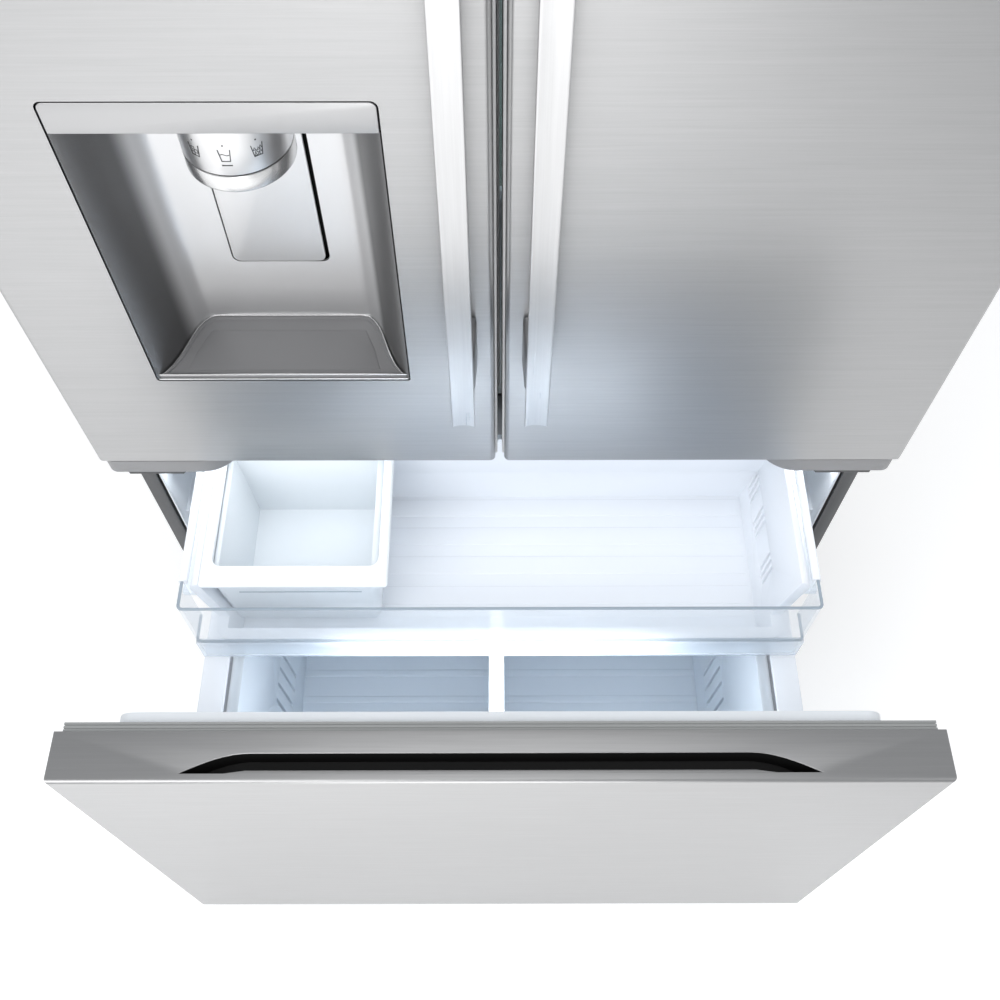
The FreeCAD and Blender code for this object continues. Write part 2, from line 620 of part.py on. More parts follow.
def drawer_liner():
    panel = block(-HALF_WIDTH + SHEET, HALF_WIDTH - SHEET, DOOR_SHELL - MOULDING, DOOR_SHELL,
                  DRAWER_BOTTOM + SHEET, DRAWER_TOP - SHEET)
    dike = rounded_block(-398, 398, DOOR_SHELL, 77.5, 112, 714, 18, "y")
    hollow = block(-386, 386, DOOR_SHELL - MOULDING - 1, 74.5, 124, 702)
    return panel.fuse(dike).cut(hollow)


def drawer_gasket():
    return ring(-446, 446, DOOR_SHELL, DOOR_SHELL + GASKET, 74, 722, 6)


def lower_basket():
    front = DRAWER_OPEN - 278
    back = BASKET_BACK + DRAWER_OPEN
    basket = open_box(-BASKET_HALF, BASKET_HALF, front, back, BASKET_BOTTOM, BASKET_TOP, 3)
    rims = pair(block(-BASKET_RIM_HALF, -BASKET_HALF + 1, front, back, BASKET_TOP - 6, BASKET_TOP))
    basket = basket.fuse(rims)
    first_slot, slot_pitch, slot_count = front + 108, 21.0, 4
    for side in (-1, 1):
        for index in range(slot_count):
            y = first_slot + index * slot_pitch
            wall = sorted((side * (BASKET_HALF - 5), side * (BASKET_HALF + 1)))
            basket = basket.cut(block(wall[0], wall[1], y, y + 9, 262, 376))
    return basket


def basket_divider():
    front = DRAWER_OPEN - 278
    back = BASKET_BACK + DRAWER_OPEN
    return block(-14, 5, front + 3, back - 3, BASKET_BOTTOM + 3, BASKET_TOP - 4)


# ---- inner drawer, modelled where it stands at rest ---------------------------------
def tray_outside():
    front = CLEAR_FRONT + 4
    return tapered(
        rectangle_z(-TRAY_FLOOR_HALF - LINER, TRAY_FLOOR_HALF + LINER, front, TRAY_BACK - 5, TRAY_FLOOR),
        rectangle_z(-TRAY_TOP_HALF - LINER, TRAY_TOP_HALF + LINER, front, TRAY_BACK, TRAY_TOP))


def inner_tray():
    wall = LINER
    front = CLEAR_FRONT + 4
    inner = tapered(
        rectangle_z(-TRAY_FLOOR_HALF, TRAY_FLOOR_HALF, front + wall, TRAY_BACK - 5 - wall, TRAY_FLOOR + wall),
        rectangle_z(-TRAY_TOP_HALF, TRAY_TOP_HALF, front + wall, TRAY_BACK - wall, TRAY_TOP + 0.01))
    rims = pair(block(-TRAY_RIM_HALF, -TRAY_TOP_HALF - 1, -104, TRAY_BACK, TRAY_TOP - 8, TRAY_TOP))
    tray = tray_outside().cut(inner).fuse(rims)
    tray = tray.cut(block(-400, 400, front - 1, -106, CLEAR_BOTTOM, TRAY_TOP + 1))
    lip = block(-CLEAR_HALF, CLEAR_HALF, CLEAR_FRONT, front + 1, TRAY_FLOOR, CLEAR_BOTTOM - 0.2)
    return tray.fuse(lip)


def inner_front():
    """Clear guard: a front pane with two short wings."""
    pane = block(-CLEAR_HALF, CLEAR_HALF, CLEAR_FRONT, -108, CLEAR_BOTTOM, CLEAR_TOP)
    pane = rounded(pane, 5, lambda centre, direction: abs(direction.z) > 0.99 and centre.y < CLEAR_FRONT + 1)
    inside = block(-CLEAR_HALF + 4, CLEAR_HALF - 4, CLEAR_FRONT + 4, -100, CLEAR_BOTTOM - 1, CLEAR_TOP + 1)
    return pane.cut(inside)


def inner_runner():
    bar = block(-381, -372.5, -96, 330, 608.5, 617.5)
    link = block(-373, -345, -96, TRAY_BACK - 8, 608.5, 617.5)
    return bar.fuse(link).cut(tray_outside())


def ice_bin():
    floor, top = TRAY_FLOOR + 3.3, 670.0
    left, right, front, back = -349.0, -130.0, -113.0, 88.0
    rim = block(left, right, front, back, top - 9, top)
    body_outer = tapered(rectangle_z(left + 24, right - 10, front + 16, back - 8, floor),
                         rectangle_z(left + 9, right - 9, front + 9, back - 9, top - 8))
    body_inner = tapered(rectangle_z(left + 27, right - 13, front + 19, back - 11, floor + 3),
                         rectangle_z(left + 12, right - 12, front + 24, back - 12, top + 0.01))
    return rim.fuse(body_outer).cut(body_inner)


# ---- write every sub-part -----------------------------------------------------------
os.makedirs("parts", exist_ok=True)

save("cabinet_shell", [cabinet_shell()])
save("front_frame", [front_frame()])
save("center_mullion", [center_mullion()])
save("fridge_liner", [fridge_liner()])
save("freezer_liner", [freezer_liner()])
save("rear_panel", [rear_panel()])
save("machine_cover", [machine_cover()])
save("inlet_valve", [inlet_valve()])
save("power_inlet", [power_inlet()])
save("compressor", [compressor()])
save("machine_base", [machine_base()])
save("base_rails", base_rails())
save("rear_rollers", rear_rollers())
save("front_feet", front_feet())
save("base_grille", [base_grille()])
save("top_hinges", pair(top_hinge()))
save("top_hinge_covers", pair(top_hinge_cover()))
save("middle_hinges", pair(middle_hinge()))
save("middle_hinge_covers", pair(middle_hinge_cover()))
save("shelf_glass", shelf_glass())
save("shelf_trims", shelf_trims())
save("crisper_left", [crisper(-424, -4)])
save("crisper_right", [crisper(4, 424)])
save("air_duct", [air_duct()])
save("evaporator_cover", [evaporator_cover()])
save("slide_outer_members", pair(slide_outer_member()))
save("inner_drawer_rails", pair(inner_drawer_rail()))

save("left_door_skin", [door_skin().cut(recess_hole())])
save("left_door_liner", [left_door_liner()])
save("left_door_gasket", [door_gasket()])
save("left_door_end_caps", door_end_caps())
save("left_door_bins", [door_bin(z) for z in LEFT_BIN_LEVELS])
save("left_handle", [handle_bar()])
save("left_handle_brackets", handle_brackets())
save("dispenser_housing", [dispenser_housing()])
save("dispenser_fascia", [dispenser_fascia()])
save("nozzle_drum", [nozzle_drum()])
save("drum_band", [drum_band()])
save("dispenser_paddle", [dispenser_paddle()])
save("drip_tray", [drip_tray()])
save("mullion_flap", [mullion_flap()])

save("right_door_skin", [mirrored(door_skin())])
save("right_door_liner", [mirrored(door_liner())])
save("right_door_gasket", [mirrored(door_gasket())])
save("right_door_end_caps", [mirrored(cap) for cap in door_end_caps()])
save("right_door_bins", [mirrored(door_bin(z)) for z in RIGHT_BIN_LEVELS])
save("right_handle", [mirrored(handle_bar())])
save("right_handle_brackets", [mirrored(bracket) for bracket in handle_brackets()])

save("drawer_skin", moved_y([drawer_skin()], -DRAWER_OPEN))
save("drawer_pocket", moved_y([drawer_pocket()], -DRAWER_OPEN))
save("drawer_liner", moved_y([drawer_liner()], -DRAWER_OPEN))
save("drawer_gasket", moved_y([drawer_gasket()], -DRAWER_OPEN))
save("lower_basket", moved_y([lower_basket()], -DRAWER_OPEN))
save("basket_divider", moved_y([basket_divider()], -DRAWER_OPEN))
save("slide_inner_members", moved_y(pair(slide_inner_member()), -DRAWER_OPEN))
save("slide_middle_members", moved_y(pair(slide_middle_member()), -DRAWER_OPEN / 2))

save("inner_tray", [inner_tray()])
save("inner_front", [inner_front()])
save("inner_runners", pair(inner_runner()))
save("ice_bin", [ice_bin()])
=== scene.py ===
"""Looks of the french door refrigerator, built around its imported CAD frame. Lengths are in metres."""

import math

import bpy
from mathutils import Matrix, Vector


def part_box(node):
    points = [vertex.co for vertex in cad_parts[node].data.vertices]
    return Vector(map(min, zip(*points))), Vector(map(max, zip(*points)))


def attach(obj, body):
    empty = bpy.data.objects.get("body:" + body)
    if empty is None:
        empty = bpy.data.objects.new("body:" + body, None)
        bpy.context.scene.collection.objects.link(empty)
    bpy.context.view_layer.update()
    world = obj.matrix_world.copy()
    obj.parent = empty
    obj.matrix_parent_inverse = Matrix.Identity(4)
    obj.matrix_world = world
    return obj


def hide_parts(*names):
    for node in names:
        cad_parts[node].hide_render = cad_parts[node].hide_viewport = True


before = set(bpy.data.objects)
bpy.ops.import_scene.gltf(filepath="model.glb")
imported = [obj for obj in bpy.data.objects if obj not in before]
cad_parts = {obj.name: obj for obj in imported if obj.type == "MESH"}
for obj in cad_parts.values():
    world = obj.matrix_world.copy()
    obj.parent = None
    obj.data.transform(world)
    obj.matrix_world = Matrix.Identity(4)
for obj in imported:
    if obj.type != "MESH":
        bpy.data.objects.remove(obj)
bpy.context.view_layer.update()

MM = 0.001
SHARP = 35.0                                     # degrees: softening rounds edges sharper than this
EVEN = (1.0, 1.0, 1.0)                           # a pattern that is not drawn out along any axis
DOOR_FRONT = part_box("left_door_skin")[0].y       # plane of the closed doors' faces


# ---- finishes -----------------------------------------------------------------------
class Value:
    """A number that changes over a surface: one socket, with the sums that the finishes use."""

    def __init__(self, finish, socket):
        self.finish = finish
        self.socket = socket

    def _sum(self, operation, first, second):
        return self.finish.node("ShaderNodeMath", {0: first, 1: second}, operation=operation)

    def __add__(self, other):
        return self._sum("ADD", self, other)

    __radd__ = __add__

    def __sub__(self, other):
        return self._sum("SUBTRACT", self, other)

    def __rsub__(self, other):
        return self._sum("SUBTRACT", other, self)

    def __mul__(self, other):
        return self._sum("MULTIPLY", self, other)

    __rmul__ = __mul__


class Finish:
    """One material: a principled shader with constant values, and patterns that are added to it."""

    def __init__(self, name, color, roughness, metallic=0.0, **constants):
        self.material = bpy.data.materials.new(name)
        self.material.use_nodes = True
        self.tree = self.material.node_tree
        self.shader = self.tree.nodes["Principled BSDF"]
        self.color = tuple(color) + (1.0,)
        self.put("Base Color", self.color)
        self.put("Roughness", roughness)
        self.put("Metallic", metallic)
        for socket, value in constants.items():
            self.put(socket.replace("_", " "), value)

    def put(self, socket, value):
        if isinstance(value, Value):
            self.tree.links.new(value.socket, self.shader.inputs[socket])
        else:
            self.shader.inputs[socket].default_value = value

    def node(self, kind, inputs=None, output=0, **settings):
        """A new node. Its settings are made first, then its sockets get values or links."""
        made = self.tree.nodes.new(kind)
        for setting, value in settings.items():
            if setting == "stops":
                for place, shade in value:
                    stop = made.color_ramp.elements.new(place)
                    stop.color = (shade, shade, shade, 1.0)
                made.color_ramp.elements.remove(made.color_ramp.elements[0])
                made.color_ramp.elements.remove(made.color_ramp.elements[-1])
            else:
                setattr(made, setting, value)
        for socket, value in (inputs or {}).items():
            if isinstance(value, Value):
                self.tree.links.new(value.socket, made.inputs[socket])
            else:
                made.inputs[socket].default_value = value
        return Value(self, made.outputs[output])

    def here(self):
        return self.node("ShaderNodeTexCoord", output="Object")

    def along(self, axis):
        """How far a point is along one axis, in metres."""
        return self.node("ShaderNodeSeparateXYZ", {0: self.here()}, output=axis)

    def place(self, stretch=EVEN):
        """Object coordinates, scaled so that a pattern is drawn out along an axis."""
        return self.node("ShaderNodeMapping", {"Vector": self.here(), "Scale": stretch})

    def noise(self, stretch, scale, detail=2.0):
        return self.node("ShaderNodeTexNoise",
                         {"Vector": self.place(stretch), "Scale": scale, "Detail": detail})

    def fade(self, value, start, end, low=0.0, high=1.0):
        """A smooth change from low to high while a value goes from start to end."""
        return self.node("ShaderNodeMapRange", {"Value": value, "From Min": start, "From Max": end,
                                                "To Min": low, "To Max": high},
                         interpolation_type="SMOOTHSTEP")

    def mix(self, amount, first, second):
        return self.node("ShaderNodeMix", {0: amount, 6: first, 7: second}, output=2, data_type="RGBA")

    def tint(self, amount, other):
        """Base colour drifts towards another colour by an amount from 0 to 1."""
        self.put("Base Color", self.mix(amount, self.color, tuple(other) + (1.0,)))

    def bump(self, height, strength, distance):
        self.put("Normal", self.node("ShaderNodeBump",
                                     {"Height": height, "Strength": strength, "Distance": distance}))


def brushed(name, color, roughness, along="x", depth=0.25):
    """Stainless steel with fine scratches along one axis, in two lengths, and faint broad clouds."""
    finish = Finish(name, color, roughness, metallic=1.0)
    stretch = {"x": (14.0, 900.0, 900.0), "z": (900.0, 900.0, 10.0)}[along]
    long_stretch = {"x": (3.0, 260.0, 260.0), "z": (260.0, 260.0, 2.0)}[along]
    fine = finish.noise(stretch, 1.0, 3.0)
    long = finish.noise(long_stretch, 1.0, 2.0)
    clouds = finish.noise(EVEN, 3.0, 1.0)
    dark = [channel * 0.80 for channel in color]
    finish.tint(fine * 0.55 + long * 0.45, dark)
    finish.put("Roughness", fine * 0.10 + clouds * 0.06 + (roughness - 0.08))
    finish.bump(fine * 0.6 + long * 0.4, depth, 0.2 * MM)
    return finish.material


def satin(name, color, roughness):
    """Metallic coating with a fine even frost and hardly any direction."""
    finish = Finish(name, color, roughness, metallic=1.0)
    frost = finish.noise(EVEN, 2200.0, 2.0)
    clouds = finish.noise(EVEN, 9.0, 2.0)
    finish.tint(clouds, [channel * 0.94 for channel in color])
    finish.put("Roughness", frost * 0.06 + clouds * 0.05 + (roughness - 0.055))
    finish.bump(frost, 0.06, 0.1 * MM)
    return finish.material


def satin_with_painted_side_shade(name, color, painted_shade_color, roughness, middle, reach, blend):
    """Satin coating that is light around a middle plane, with painted shade that darkens the walls either
    side of it.
    """
    finish = Finish(name, color, roughness, metallic=0.9)
    frost = finish.noise(EVEN, 2200.0, 2.0)
    offset = finish.node("ShaderNodeMath", {0: finish.along("X") - middle}, operation="ABSOLUTE")
    side = finish.fade(offset, reach, reach + blend)
    # Painted shade: away from the middle plane, the walls drift towards the dark shade colour.
    finish.tint(side * (frost * 0.1 + 0.9), painted_shade_color)
    finish.put("Roughness", frost * 0.06 + (roughness - 0.03))
    finish.bump(frost, 0.06, 0.1 * MM)
    return finish.material


def moulded(name, color, roughness, grain=0.05, depth=0.1, drift=0.93, **constants):
    """Plastic with a fine moulded grain and a slight drift in colour."""
    finish = Finish(name, color, roughness, **constants)
    fine = finish.noise(EVEN, 900.0, 2.0)
    broad = finish.noise(EVEN, 5.0, 2.0)
    finish.tint(broad, [channel * drift for channel in color])
    finish.put("Roughness", broad * 0.08 + fine * grain + (roughness - 0.05))
    finish.bump(fine, depth, 0.1 * MM)
    return finish.material


def painted(name, color, roughness, metallic=0.0):
    """Sprayed paint: orange peel, with a broad random drift in tone."""
    finish = Finish(name, color, roughness, metallic)
    peel = finish.noise(EVEN, 320.0, 1.0)
    broad = finish.noise(EVEN, 4.0, 3.0)
    finish.tint(broad, [channel * 0.88 for channel in color])
    finish.put("Roughness", broad * 0.12 + peel * 0.05 + (roughness - 0.08))
    finish.bump(peel, 0.25, 0.3 * MM)
    return finish.material


def galvanised(name):
    """Zinc-coated sheet with crystal spangle."""
    finish = Finish(name, (0.50, 0.51, 0.52), 0.45, metallic=0.9)
    spangle = finish.node("ShaderNodeTexVoronoi", {"Vector": finish.place(), "Scale": 70.0},
                          output="Distance")
    broad = finish.noise(EVEN, 6.0, 3.0)
    finish.tint(spangle * 0.7 + broad * 0.3, (0.36, 0.37, 0.38))
    finish.put("Roughness", spangle * 0.25 + 0.32)
    return finish.material


def clear(name, color, alpha, roughness=0.08):
    """Clear moulding, with faint flow marks in its gloss."""
    finish = Finish(name, color, roughness, Alpha=alpha, IOR=1.5)
    flow = finish.noise((2.0, 1.0, 1.0), 6.0, 2.0)
    finish.put("Roughness", flow * 0.10 + roughness)
    finish.tint(flow, [channel * 0.94 for channel in color])
    return finish.material


def lamp_lens(name):
    """Ribbed diffuser that glows."""
    finish = Finish(name, (0.95, 0.97, 1.0), 0.4, Emission_Strength=2.0)
    finish.put("Emission Color", (0.92, 0.96, 1.0, 1.0))
    ripple = finish.noise((1.0, 60.0, 1.0), 30.0, 1.0)
    finish.tint(ripple, (0.85, 0.9, 0.95))
    finish.bump(ripple, 0.3, 0.5 * MM)
    return finish.material


STEEL = brushed("door_steel", (0.47, 0.47, 0.472), 0.34)
HANDLE_STEEL = brushed("handle_steel", (0.62, 0.62, 0.623), 0.30, along="z", depth=0.12)
BRACKET_METAL = satin("bracket_metal", (0.42, 0.42, 0.43), 0.34)
# Dark grey behind the handle bars: painted shade for the shadowed inner side of each bar.
HANDLE_PAINTED_SHADE_GREY = moulded("handle_backing_painted_shade", (0.10, 0.10, 0.102), 0.5)
FASCIA_METAL = satin("fascia_metal", (0.45, 0.45, 0.453), 0.36)
# Recess walls: light satin at the back, with painted shade on the side walls.
RECESS_METAL_PAINTED_SHADE = satin_with_painted_side_shade("recess_metal_painted_shade", (0.76, 0.76, 0.765), (0.15, 0.15, 0.152), 0.46,
                        middle=-218.0 * MM, reach=93.0 * MM, blend=10.0 * MM)
DRUM_METAL = satin("drum_metal", (0.74, 0.74, 0.743), 0.30)
RIM_METAL = satin("rim_metal", (0.70, 0.70, 0.70), 0.26)
SLIDE_STEEL = brushed("slide_zinc", (0.62, 0.63, 0.65), 0.3, depth=0.1)
TRAY_GREY = moulded("tray_dark_grey", (0.20, 0.20, 0.205), 0.40)
PADDLE_METAL = satin("paddle_metal", (0.80, 0.80, 0.805), 0.50)
CABINET_PAINT = painted("cabinet_grey_paint", (0.20, 0.205, 0.21), 0.42)
FLANGE_PAINT = painted("flange_dark_paint", (0.075, 0.077, 0.08), 0.45)
HINGE_PAINT = painted("hinge_dark_paint", (0.045, 0.045, 0.047), 0.45)
COVER_GREY = moulded("hinge_cover_grey", (0.27, 0.27, 0.275), 0.45)
CAP_GREY = moulded("end_cap_grey", (0.16, 0.16, 0.165), 0.5)
SEAL_GREY = moulded("seal_grey", (0.10, 0.10, 0.105), 0.6)
SEAL_LIGHT = moulded("drawer_seal_grey", (0.32, 0.33, 0.33), 0.55)
LINER_WHITE = moulded("liner_white", (0.86, 0.90, 0.94), 0.32, drift=0.98)
BIN_WHITE = moulded("bin_white", (0.82, 0.88, 0.94), 0.28, drift=0.98)
TRAY_WHITE = moulded("tray_white", (0.85, 0.885, 0.935), 0.24, drift=0.98)
BIN_RIM = moulded("ice_bin_rim_white", (0.90, 0.94, 0.97), 0.25, drift=0.985)
BASKET_BLUE = moulded("basket_blue_white", (0.70, 0.77, 0.84), 0.3, drift=0.97)
BLACK = moulded("black_plastic", (0.010, 0.010, 0.010), 0.55, Specular_IOR_Level=0.25)
INK = moulded("icon_ink", (0.05, 0.05, 0.052), 0.5)
# Light grey of the strips in the door gap: a painted highlight for the lit inner sides of the doors.
STRIP_PAINTED_HIGHLIGHT = moulded("edge_strip_painted_highlight", (0.62, 0.62, 0.625), 0.4)
# Grey plastic flap, made lighter than its own grey as painted light: it stands in for light that does not
# reach it deep between the doors.
FLAP_GREY_PAINTED_LIGHT = moulded("flap_grey", (0.74, 0.74, 0.75), 0.4)
GALVANISED = galvanised("galvanised_sheet")
COMPRESSOR_BLACK = painted("compressor_black", (0.012, 0.012, 0.013), 0.35)
GUARD_CLEAR = clear("guard_clear", (0.80, 0.87, 0.94), 0.22)
GUARD_EDGE = clear("guard_edge", (0.36, 0.43, 0.50), 0.8, 0.2)
BIN_CLEAR = clear("door_bin_clear", (0.78, 0.85, 0.91), 0.34)
TRAY_LIP = clear("tray_lip_clear", (0.74, 0.82, 0.90), 0.45)
SHELF_GLASS = clear("shelf_glass", (0.62, 0.80, 0.76), 0.25)
FROSTED = clear("ice_bin_frosted", (0.88, 0.93, 0.97), 0.86, 0.3)
LAMP = lamp_lens("lamp_lens")


# ---- modelling helpers --------------------------------------------------------------
def deselect_all():
    for shown in list(bpy.context.selected_objects):
        shown.select_set(False)


def only(piece):
    deselect_all()
    bpy.context.view_layer.objects.active = piece
    piece.select_set(True)


def settle():
    """Put the place, turn and size of what is selected into its mesh."""
    bpy.ops.object.transform_apply(location=True, rotation=True, scale=True)


def slab(name, low, high):
    """A box between two corners, as a new mesh."""
    deselect_all()
    low, high = Vector(low), Vector(high)
    bpy.ops.mesh.primitive_cube_add(size=1.0, location=(low + high) / 2)
    piece = bpy.context.object
    piece.name = name
    piece.scale = high - low
    settle()
    return piece


def drum(name, centre, radius, low, high, segments=72):
    """An upright cylinder between two levels, as a new mesh."""
    deselect_all()
    bpy.ops.mesh.primitive_cylinder_add(vertices=segments, radius=radius, depth=high - low,
                                        location=(centre[0], centre[1], (low + high) / 2))
    piece = bpy.context.object
    piece.name = name
    settle()
    return piece


def pick(piece, kind, test):
    """Select the vertices, edges or faces whose middle (and normal, for a face) pass the test."""
    only(piece)
    mesh = piece.data
    for group in (mesh.vertices, mesh.edges, mesh.polygons):
        group.foreach_set("select", [False] * len(group))
    if kind == "vertex":
        for vertex in mesh.vertices:
            vertex.select = test(vertex.co)
    elif kind == "edge":
        for edge in mesh.edges:
            first, last = (mesh.vertices[index].co for index in edge.vertices)
            edge.select = test((first + last) / 2, (last - first).normalized())
    else:
        for face in mesh.polygons:
            face.select = test(face.center, face.normal)
    bpy.ops.object.mode_set(mode="EDIT")
    bpy.ops.mesh.select_mode(type={"vertex": "VERT", "edge": "EDGE", "face": "FACE"}[kind])


def edit_all(piece, kind=None):
    """Open a piece for editing with all of it selected. A bare line of edges needs its kind named."""
    only(piece)
    bpy.ops.object.mode_set(mode="EDIT")
    if kind:
        bpy.ops.mesh.select_mode(type=kind)
    bpy.ops.mesh.select_all(action="SELECT")


def done():
    bpy.ops.object.mode_set(mode="OBJECT")


# Tests for pick: edges by the way that they run, and faces by the way that they look.
def upright(middle, way):
    return abs(way.z) > 0.9


def crosswise(middle, way):
    return abs(way.x) > 0.9


def fore_and_aft(middle, way):
    return abs(way.y) > 0.9


def level(middle, way):
    return abs(way.z) < 0.1


def facing_front(middle, normal):
    return normal.y < -0.9


def facing_back(middle, normal):
    return normal.y > 0.9


def facing_down(middle, normal):
    return normal.z < -0.9


def bevel(piece, test, width, segments=4):
    pick(piece, "edge", test)
    bpy.ops.mesh.bevel(offset=width, segments=segments, affect="EDGES", clamp_overlap=True)
    done()


def widen(piece, test, factors, centre):
    """Scale the chosen vertices about a centre."""
    pick(piece, "vertex", test)
    bpy.ops.transform.resize(value=factors, center_override=centre)
    done()


def shift(piece, test, offset):
    pick(piece, "vertex", test)
    bpy.ops.transform.translate(value=offset)
    done()


def apply_modifier(piece, kind, **settings):
    only(piece)
    modifier = piece.modifiers.new(kind.lower(), kind)
    for setting, value in settings.items():
        setattr(modifier, setting, value)
    bpy.ops.object.modifier_apply(modifier=modifier.name)


def soften(piece, width, segments=2):
    """Round every sharp edge a little, as a mould or a press leaves it."""
    apply_modifier(piece, "BEVEL", width=width, segments=segments, limit_method="ANGLE",
                   angle_limit=math.radians(SHARP))


def thicken(piece, wall):
    apply_modifier(piece, "SOLIDIFY", thickness=wall, offset=-1.0, use_even_offset=True)


def cut(piece, cutter):
    """Take the cutter's volume away from the piece."""
    apply_modifier(piece, "BOOLEAN", operation="DIFFERENCE", solver="EXACT", object=cutter)
    bpy.data.objects.remove(cutter)


def joined(name, parts):
    """Several parts as one piece."""
    deselect_all()
    for part in parts:
        part.select_set(True)
    bpy.context.view_layer.objects.active = parts[0]
    bpy.ops.object.join()
    parts[0].name = name
    return parts[0]


def duplicate(piece):
    """A copy with its own mesh."""
    twin = piece.copy()
    twin.data = piece.data.copy()
    bpy.context.collection.objects.link(twin)
    return twin


def mirrored(piece, name):
    """The same piece on the other side of the centre plane."""
    twin = duplicate(piece)
    twin.name = name
    only(twin)
    twin.scale = (-1.0, 1.0, 1.0)
    settle()
    edit_all(twin)
    bpy.ops.mesh.normals_make_consistent(inside=False)
    done()
    return twin


def inset_push(piece, test, width, push):
    """Inset the chosen faces by a width and then push them in or out."""
    pick(piece, "face", test)
    bpy.ops.mesh.inset(thickness=width)
    bpy.ops.mesh.extrude_region_move(TRANSFORM_OT_translate={"value": push})
    done()


def volume(piece):
    """Volume inside a closed mesh. It is negative if the faces look inwards."""
    mesh = piece.data
    mesh.calc_loop_triangles()
    corners = [[mesh.vertices[index].co for index in part.vertices] for part in mesh.loop_triangles]
    return sum(first.dot(second.cross(third)) for first, second, third in corners) / 6


def flip(piece):
    edit_all(piece)
    bpy.ops.mesh.flip_normals()
    done()


def outward(piece):
    """Merge doubled points and make every face of a solid look outwards."""
    edit_all(piece)
    bpy.ops.mesh.remove_doubles(threshold=1e-6)
    bpy.ops.mesh.normals_make_consistent(inside=False)
    done()
    if volume(piece) < 0:
        flip(piece)


def chain(name, points):
    """A line of edges through points, started from one corner of a plane."""
    deselect_all()
    bpy.ops.mesh.primitive_plane_add(size=0.001)
    piece = bpy.context.object
    piece.name = name
    edit_all(piece, "VERT")
    bpy.ops.mesh.merge(type="CENTER")
    bpy.ops.transform.translate(value=Vector(points[0]))
    for before, after in zip(points, points[1:]):
        bpy.ops.mesh.extrude_region_move(
            TRANSFORM_OT_translate={"value": Vector(after) - Vector(before)})
    done()
    return piece


def ribbon(name, points, push):
    """An open strip: a line of points pushed sideways."""
    piece = chain(name, points)
    edit_all(piece, "EDGE")
    bpy.ops.mesh.extrude_region_move(TRANSFORM_OT_translate={"value": push})
    done()
    return piece


def prism(name, points, push):
    """A closed outline, filled and pushed into a solid."""
    piece = chain(name, points)
    edit_all(piece, "VERT")
    bpy.ops.mesh.edge_face_add()
    bpy.ops.mesh.extrude_region_move(TRANSFORM_OT_translate={"value": push})
    done()
    outward(piece)
    return piece


def face_towards(piece, point):
    """Turn an open strip so that its faces look at a point."""
    outward(piece)
    point = Vector(point)
    score = sum((point - face.center).dot(face.normal) * face.area for face in piece.data.polygons)
    if score < 0:
        flip(piece)


def slice_off(piece, point, normal):
    """Cut away what lies beyond a plane and close the cut."""
    edit_all(piece)
    bpy.ops.mesh.bisect(plane_co=point, plane_no=normal, use_fill=True, clear_outer=True)
    done()


def turn_about(piece, centre, degrees):
    """Turn a piece about an upright axis. Its place stays in its mesh."""
    only(piece)
    turn = (Matrix.Translation(centre) @ Matrix.Rotation(math.radians(degrees), 4, "Z")
            @ Matrix.Translation(-Vector(centre)))
    piece.matrix_world = turn @ piece.matrix_world
    settle()


def lay_along_x(piece, centre):
    """Tip an upright piece at the origin over to lie along X, at a centre."""
    only(piece)
    piece.matrix_world = Matrix.Translation(centre) @ Matrix.Rotation(math.radians(90), 4, "Y")
    settle()


def finish_piece(piece, body, material, stands_for=(), smooth=30.0):
    """Smooth and paint a piece, put it on the body that it rides on, and hide the CAD nodes that it stands
    for.
    """
    only(piece)
    bpy.ops.object.shade_smooth_by_angle(angle=math.radians(smooth))
    piece.data.materials.clear()
    piece.data.materials.append(material)
    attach(piece, body)
    if stands_for:
        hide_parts(*stands_for)
    return piece


def dress(node, material):
    """Give a CAD node its finish."""
    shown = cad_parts[node]
    for entry in shown.material_slots:
        entry.material = material


# ---- camera, light and floor --------------------------------------------------------
LOOK_DOWN, LOOK_RIGHT = 59.5, 0.135              # the camera's direction, in degrees
FOCAL_LENGTH = 38.66                             # millimetres, on a sensor 36 mm wide


def set_camera():
    data = bpy.data.cameras.new("camera")
    data.sensor_width = 36.0
    data.lens = FOCAL_LENGTH
    camera = bpy.data.objects.new("camera", data)
    camera.location = (-0.0013, DOOR_FRONT - 0.6555, 1.784)
    camera.rotation_euler = (math.radians(90 - LOOK_DOWN), 0.0, math.radians(-LOOK_RIGHT))
    bpy.context.collection.objects.link(camera)
    bpy.context.scene.camera = camera


# Lamps that light the surfaces without being mirrored in them.
DIFFUSE_ONLY = ("top_fill", "freezer_lamp", "basket_lamp", "fridge_lamp", "side_lamp_left",
                "side_lamp_right", "ice_lamp")
INSIDE_WHITE = (0.975, 0.985, 1.0)


def soft_light(name, place, aim, size, watts, color=(1.0, 1.0, 1.0)):
    """A rectangular lamp that looks at a point."""
    data = bpy.data.lights.new(name, "AREA")
    data.shape = "RECTANGLE"
    data.size, data.size_y = size
    data.energy = watts
    data.color = color
    light = bpy.data.objects.new(name, data)
    light.location = place
    light.rotation_euler = (Vector(aim) - Vector(place)).to_track_quat("-Z", "Y").to_euler()
    light.visible_glossy = name not in DIFFUSE_ONLY
    bpy.context.collection.objects.link(light)


